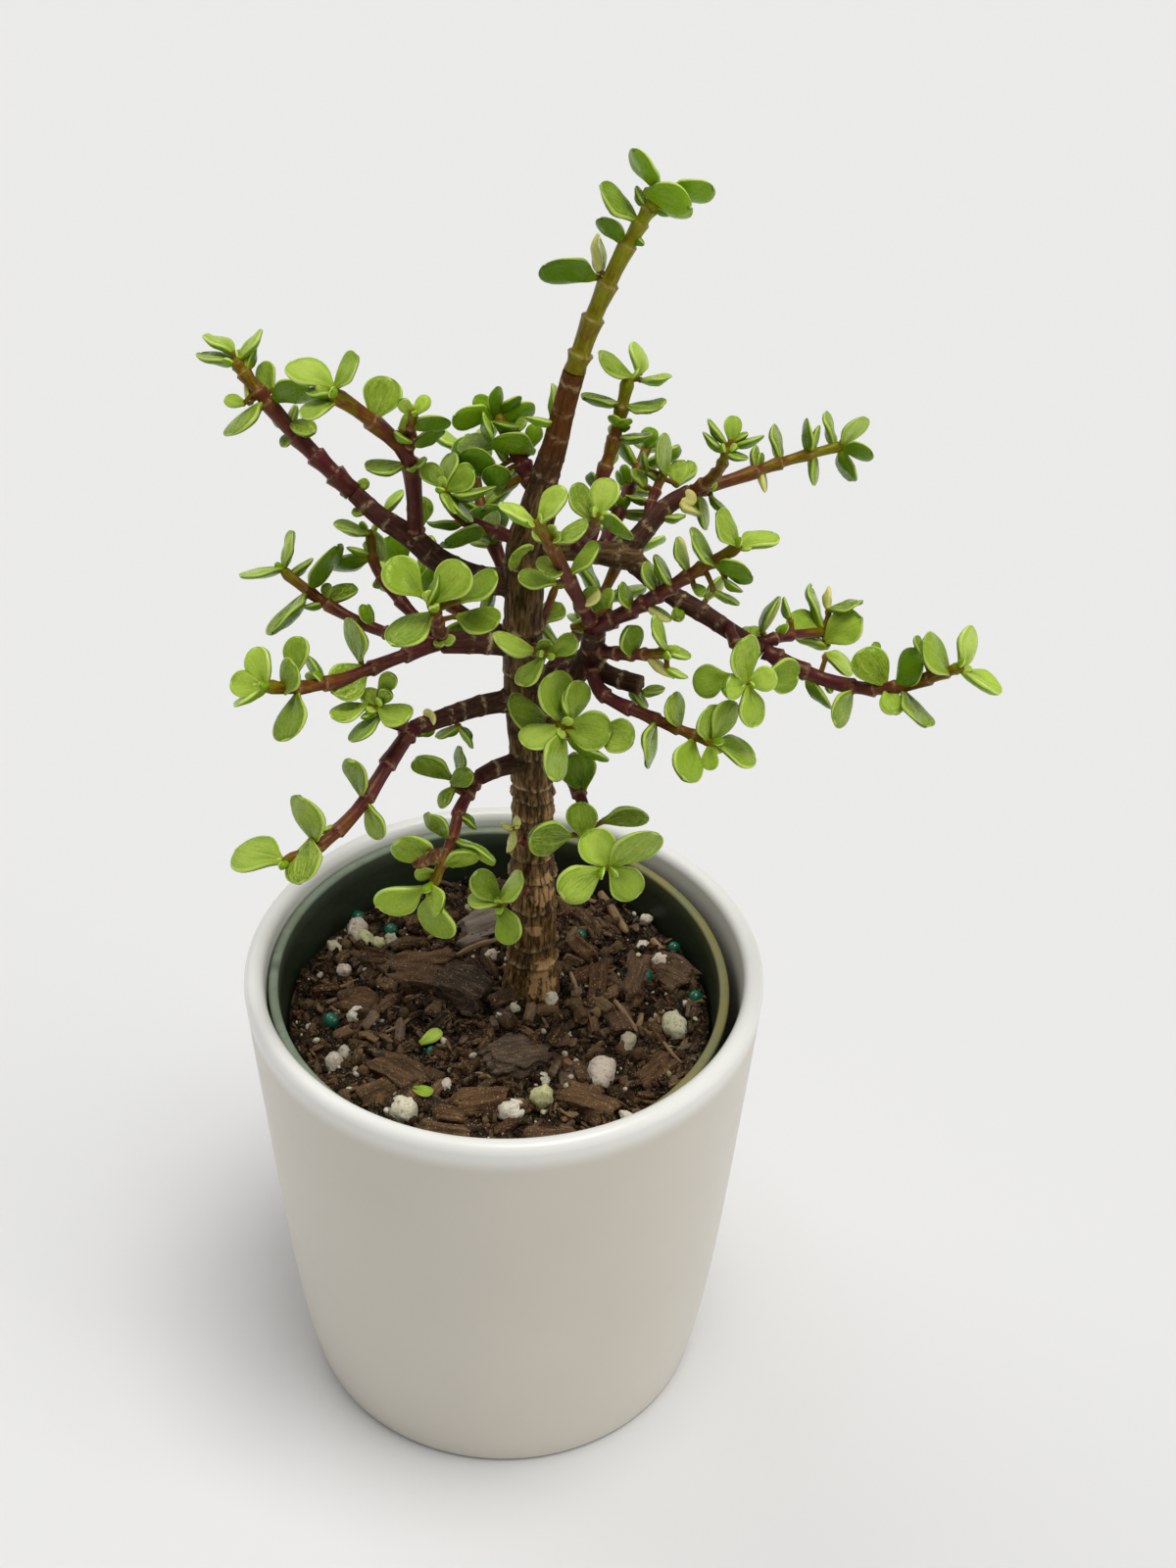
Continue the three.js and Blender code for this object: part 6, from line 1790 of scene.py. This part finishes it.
# place, radius, tint (pink, green, shade)
GRAINS = [
    ((43.2, -6.3), 3.6, (0.1, 0.5, 0)), ((41.8, 18.8), 2.8, (0.6, 0, 0)), ((36.8, 25.8), 1.6, (0.2, 0.1, 0)),
    ((38, 35.4), 1.9, (0.2, 0.2, 0)), ((11.9, 1.4), 2.1, (0, 0.1, 0)), ((2.7, -2.6), 1.3, (0.1, 0.2, 0.2)),
    ((24.3, -23.9), 3.8, (0.7, 0, 0)), ((1.6, -35.8), 3.2, (0.1, 0.05, 0)), ((9.2, -32.4), 3.6, (0, 1, 0)),
    ((-24.2, -36.1), 3.6, (0.1, 0.3, 0)), ((-3.9, -28.4), 1.5, (0.3, 0, 0)),
    ((9.8, -25.3), 1.7, (0, 0, 0.25)),
    ((-39, 31.5), 3.2, (0.7, 0, 0)), ((-44.5, 25), 2.0, (0.2, 0.5, 0)), ((-36.5, 27.5), 2.6, (0, 0.9, 0)),
    ((-33, 27), 2.2, (0, 0.9, 0)), ((-29.8, 28.2), 1.8, (0, 0.4, 0.2)), ((-41.7, 14.9), 2.3, (0.8, 0, 0)),
    ((-38, -2.6), 1.9, (0.1, 0, 0)), ((-36, -0.6), 1.5, (0.1, 0, 0)), ((-42, -19), 2.6, (0.3, 0, 0.2)),
    ((-40, -14), 2.0, (0.2, 0, 0.3)), ((-1, 3.5), 1.3, (0, 0.6, 0.2)), ((-3.5, 18.5), 2.0, (0.4, 0.1, 0.1)),
    ((31, -13), 2.4, (0.6, 0.3, 0.4)), ((46, 3), 1.4, (0.4, 0, 0.1)), ((-29, 38), 2.2, (0.1, 0.6, 0)),
    ((16, -28), 1.6, (0, 0.6, 0.1)), ((-14, -28), 1.4, (0.4, 0, 0.2)), ((30, -38), 2.0, (0.2, 0.2, 0)),
]


# scattered ones: how many, radius, the middle and spread of their shade, and how finely they are drawn
LOOSE_GRAINS = [(130, (0.4, 1.1), (0.15, 0.25), 1), (260, (0.22, 0.5), (0.3, 0.3), 0)]


def pumice_grains():
    rng = np.random.default_rng(31)
    heap = Heap()
    places = [(place, radius, tint, 2) for place, radius, tint in GRAINS]
    for count, radii, shade, level in LOOSE_GRAINS:
        for _ in range(count):
            tint = random_tint(rng, (0.3, 0.3), (0.1, 0.3), shade, most=0.8)
            places.append((scatter(rng), rng.uniform(*radii), tint, level))
    for (x, y), radius, tint, level in places:
        points, faces = crumb(rng, radius, level, 0.4, (1.15, rng.uniform(0.75, 1), rng.uniform(0.7, 0.9)))
        heap.add(points + [x, y, ground(x, y)[0] + radius * 0.45], faces, tint=tint)
    dress(heap.mesh("pumice_grains", [grain_material()]), "soil")


PRILLS = [
    ((36.4, 12.7), 2.3), ((-43.9, -3.4), 2.1), ((-39.1, 38), 2.0), ((20.1, 27.8), 1.8), ((49.1, 5.5), 1.9),
    ((44.7, 24), 1.6), ((-18, -14), 1.7), ((28, -44), 1.9), ((-30, 31), 1.9),
]  # place and radius


def prills():
    """Grains of coated fertiliser."""
    heap = Heap()
    sphere, faces = BALLS[3]
    for (x, y), radius in PRILLS:
        heap.add(sphere * radius + [x, y, ground(x, y)[0] + radius * 0.7], faces)
    dress(heap.mesh("fertiliser_prills", [prill_material()]), "soil")


# two ends on the soil, their heights above it, and the radius
TWIGS = [
    ((25.9, 46.5), (32.6, 29.5), (2.5, 2.0), 1.3), ((38.9, 26.6), (44.8, 17.5), (2.2, 1.5), 1.1),
    ((28.1, 1), (33.4, -10), (2.5, 1.0), 0.7), ((35, -1), (32.5, -9), (1.6, 1.0), 0.8),
    ((-12.6, 18.8), (-1, 23.5), (2.0, 2.5), 0.8), ((17.2, 10.2), (19.6, 0.5), (2.2, 0.8), 0.6),
    ((-44, 8), (-38, 12), (1.5, 1.2), 0.5), ((-20, 26), (-12, 31), (1.5, 2.4), 0.6),
    ((10, -30), (16, -38), (1.5, 1.0), 0.5), ((-30, -8), (-22, -3), (1.2, 1.4), 0.45),
    ((40, -12), (44, -20), (1.2, 1.4), 0.5), ((-8, -22), (-2, -26), (1.0, 1.4), 0.4),
]


STRAW_SHAPE = [(0, 0.35), (0.04, 0.85), (0.3, 1.0), (0.6, 0.9), (0.9, 0.75), (0.97, 0.55), (1, 0.2)]
STRAW_SIDES, STRAW_WOBBLE = 9, 0.5


def twigs():
    rng = np.random.default_rng(37)
    heap = Heap()
    for (x0, y0), (x1, y1), (high0, high1), radius in TWIGS:
        start = np.array([x0, y0, soil_height(x0, y0) + high0])
        end = np.array([x1, y1, soil_height(x1, y1) + high1])
        bow = rng.normal(0, 0.5, 3)
        route = Route([start, (start + end) / 2 + bow, end])
        profile = [(route.length * share, radius * r, 0) for share, r in STRAW_SHAPE]
        points, faces, place, _ = tube(route, profile, STRAW_SIDES, rng.random(), STRAW_WOBBLE)
        heap.add(points, faces, grain=place[:, [0, 2, 1]] * [2, 2, 0.15])
    dress(heap.mesh("straw_twigs", [straw_material()]), "soil")


def loose_leaf(root, axis, face, length, width):
    axis = unit(np.array(axis, float))
    face = square_to(np.array(face, float), axis)
    across = np.cross(face, axis)
    return dict(root=np.array(root, float), axis=axis, face=face, across=across, length=length, width=width)


FALLEN = [((-21, -13), (1, 0.7, 0.15), 6.5, 0.9), ((-22.5, -29.5), (1, -0.3, 0.05), 5.5, 0.5)]


def fallen_leaves():
    rng = np.random.default_rng(41)
    heap = Heap()
    for (x, y), axis, length, youth in FALLEN:
        leaf = loose_leaf((x, y, soil_height(x, y) + 1.8), axis, (0.1, -0.2, 1), length, length * 0.6)
        add_blade(heap, rng, leaf, youth, 0.2, 0.0, 0.8)
    dress(heap.mesh("fallen_leaves", [LEAF]), "leaf")


def dead_leaf():
    rng = np.random.default_rng(43)
    heap = Heap()
    dead = loose_leaf((-13.5, -26.5, 187.0), (-1, -0.35, -0.5), (0.1, -0.5, 0.85), 8.0, 3.8)
    points, faces, _ = blade(dead, rng, 0, 0, 0, 0.35)
    crumple = np.column_stack([noise(points * 0.55, seed) for seed in (1, 2, 3)]) - 0.5
    heap.add(points + crumple * 2.2, faces)
    dress(heap.mesh("dead_leaf", [dead_material()]), "leaf")


SOIL = soil_material()
soil_bed()
crumbs()
bark_chips()
pumice_grains()
prills()
twigs()
fallen_leaves()
dead_leaf()

# ---------------------------------------------------------------- floor, light and camera
FLOOR_REACH = 6000
WORLD_STRENGTH = 0.17
# name, where the light comes from, strength, softness in degrees, colour
SUNS = [
    ("overhead", (0.0, 0.0, 1.0), 0.5, 110.0, (1.0, 1.0, 1.0)),
    ("key", (0.17, -0.1, 1.0), 1.7, 26.0, (1.0, 0.995, 0.98)),
    ("back", (-0.7, 0.75, 0.9), 0.58, 50.0, (1.0, 1.0, 1.0)),
    ("side", (1.0, -0.35, 0.35), 0.46, 40.0, (1.0, 0.98, 0.93)),
]
SENSOR_WIDTH = 36.0


def studio():
    corners = [(FLOOR_REACH * x, FLOOR_REACH * y, 0) for x, y in ((-1, -1), (1, -1), (1, 1), (-1, 1))]
    pale = Graph("floor").surface(srgb(232, 232, 232), 0.9, Specular_IOR_Level=0.0)
    floor = add_mesh("floor", corners, [(0, 1, 2, 3)], [pale], smooth=False)

    world = bpy.data.worlds.new("studio")
    world.use_nodes = True
    bpy.context.scene.world = world
    background = world.node_tree.nodes["Background"]
    background.inputs["Color"].default_value = (1.0, 1.0, 1.0, 1.0)
    background.inputs["Strength"].default_value = WORLD_STRENGTH

    for name, toward, strength, softness, colour in SUNS:
        light = bpy.data.lights.new(name, "SUN")
        light.energy = strength
        light.angle = math.radians(softness)
        light.color = colour
        lamp = show(bpy.data.objects.new(name, light))
        lamp.rotation_euler = Vector(toward).to_track_quat("Z", "Y").to_euler()

    camera_data = bpy.data.cameras.new("camera")
    camera_data.sensor_width = SENSOR_WIDTH
    camera_data.lens = SENSOR_WIDTH * VIEW_FOCUS / PICTURE_HEIGHT
    camera_data.shift_x = (PICTURE_WIDTH / 2 - VIEW_MIDDLE[0]) / PICTURE_HEIGHT
    camera = show(bpy.data.objects.new("camera", camera_data))
    camera.location = VIEW_POINT * MM
    camera.rotation_euler = (math.pi / 2 - VIEW_TILT, 0, 0)
    bpy.context.scene.camera = camera
    bpy.context.scene.view_settings.view_transform = "Standard"


studio()
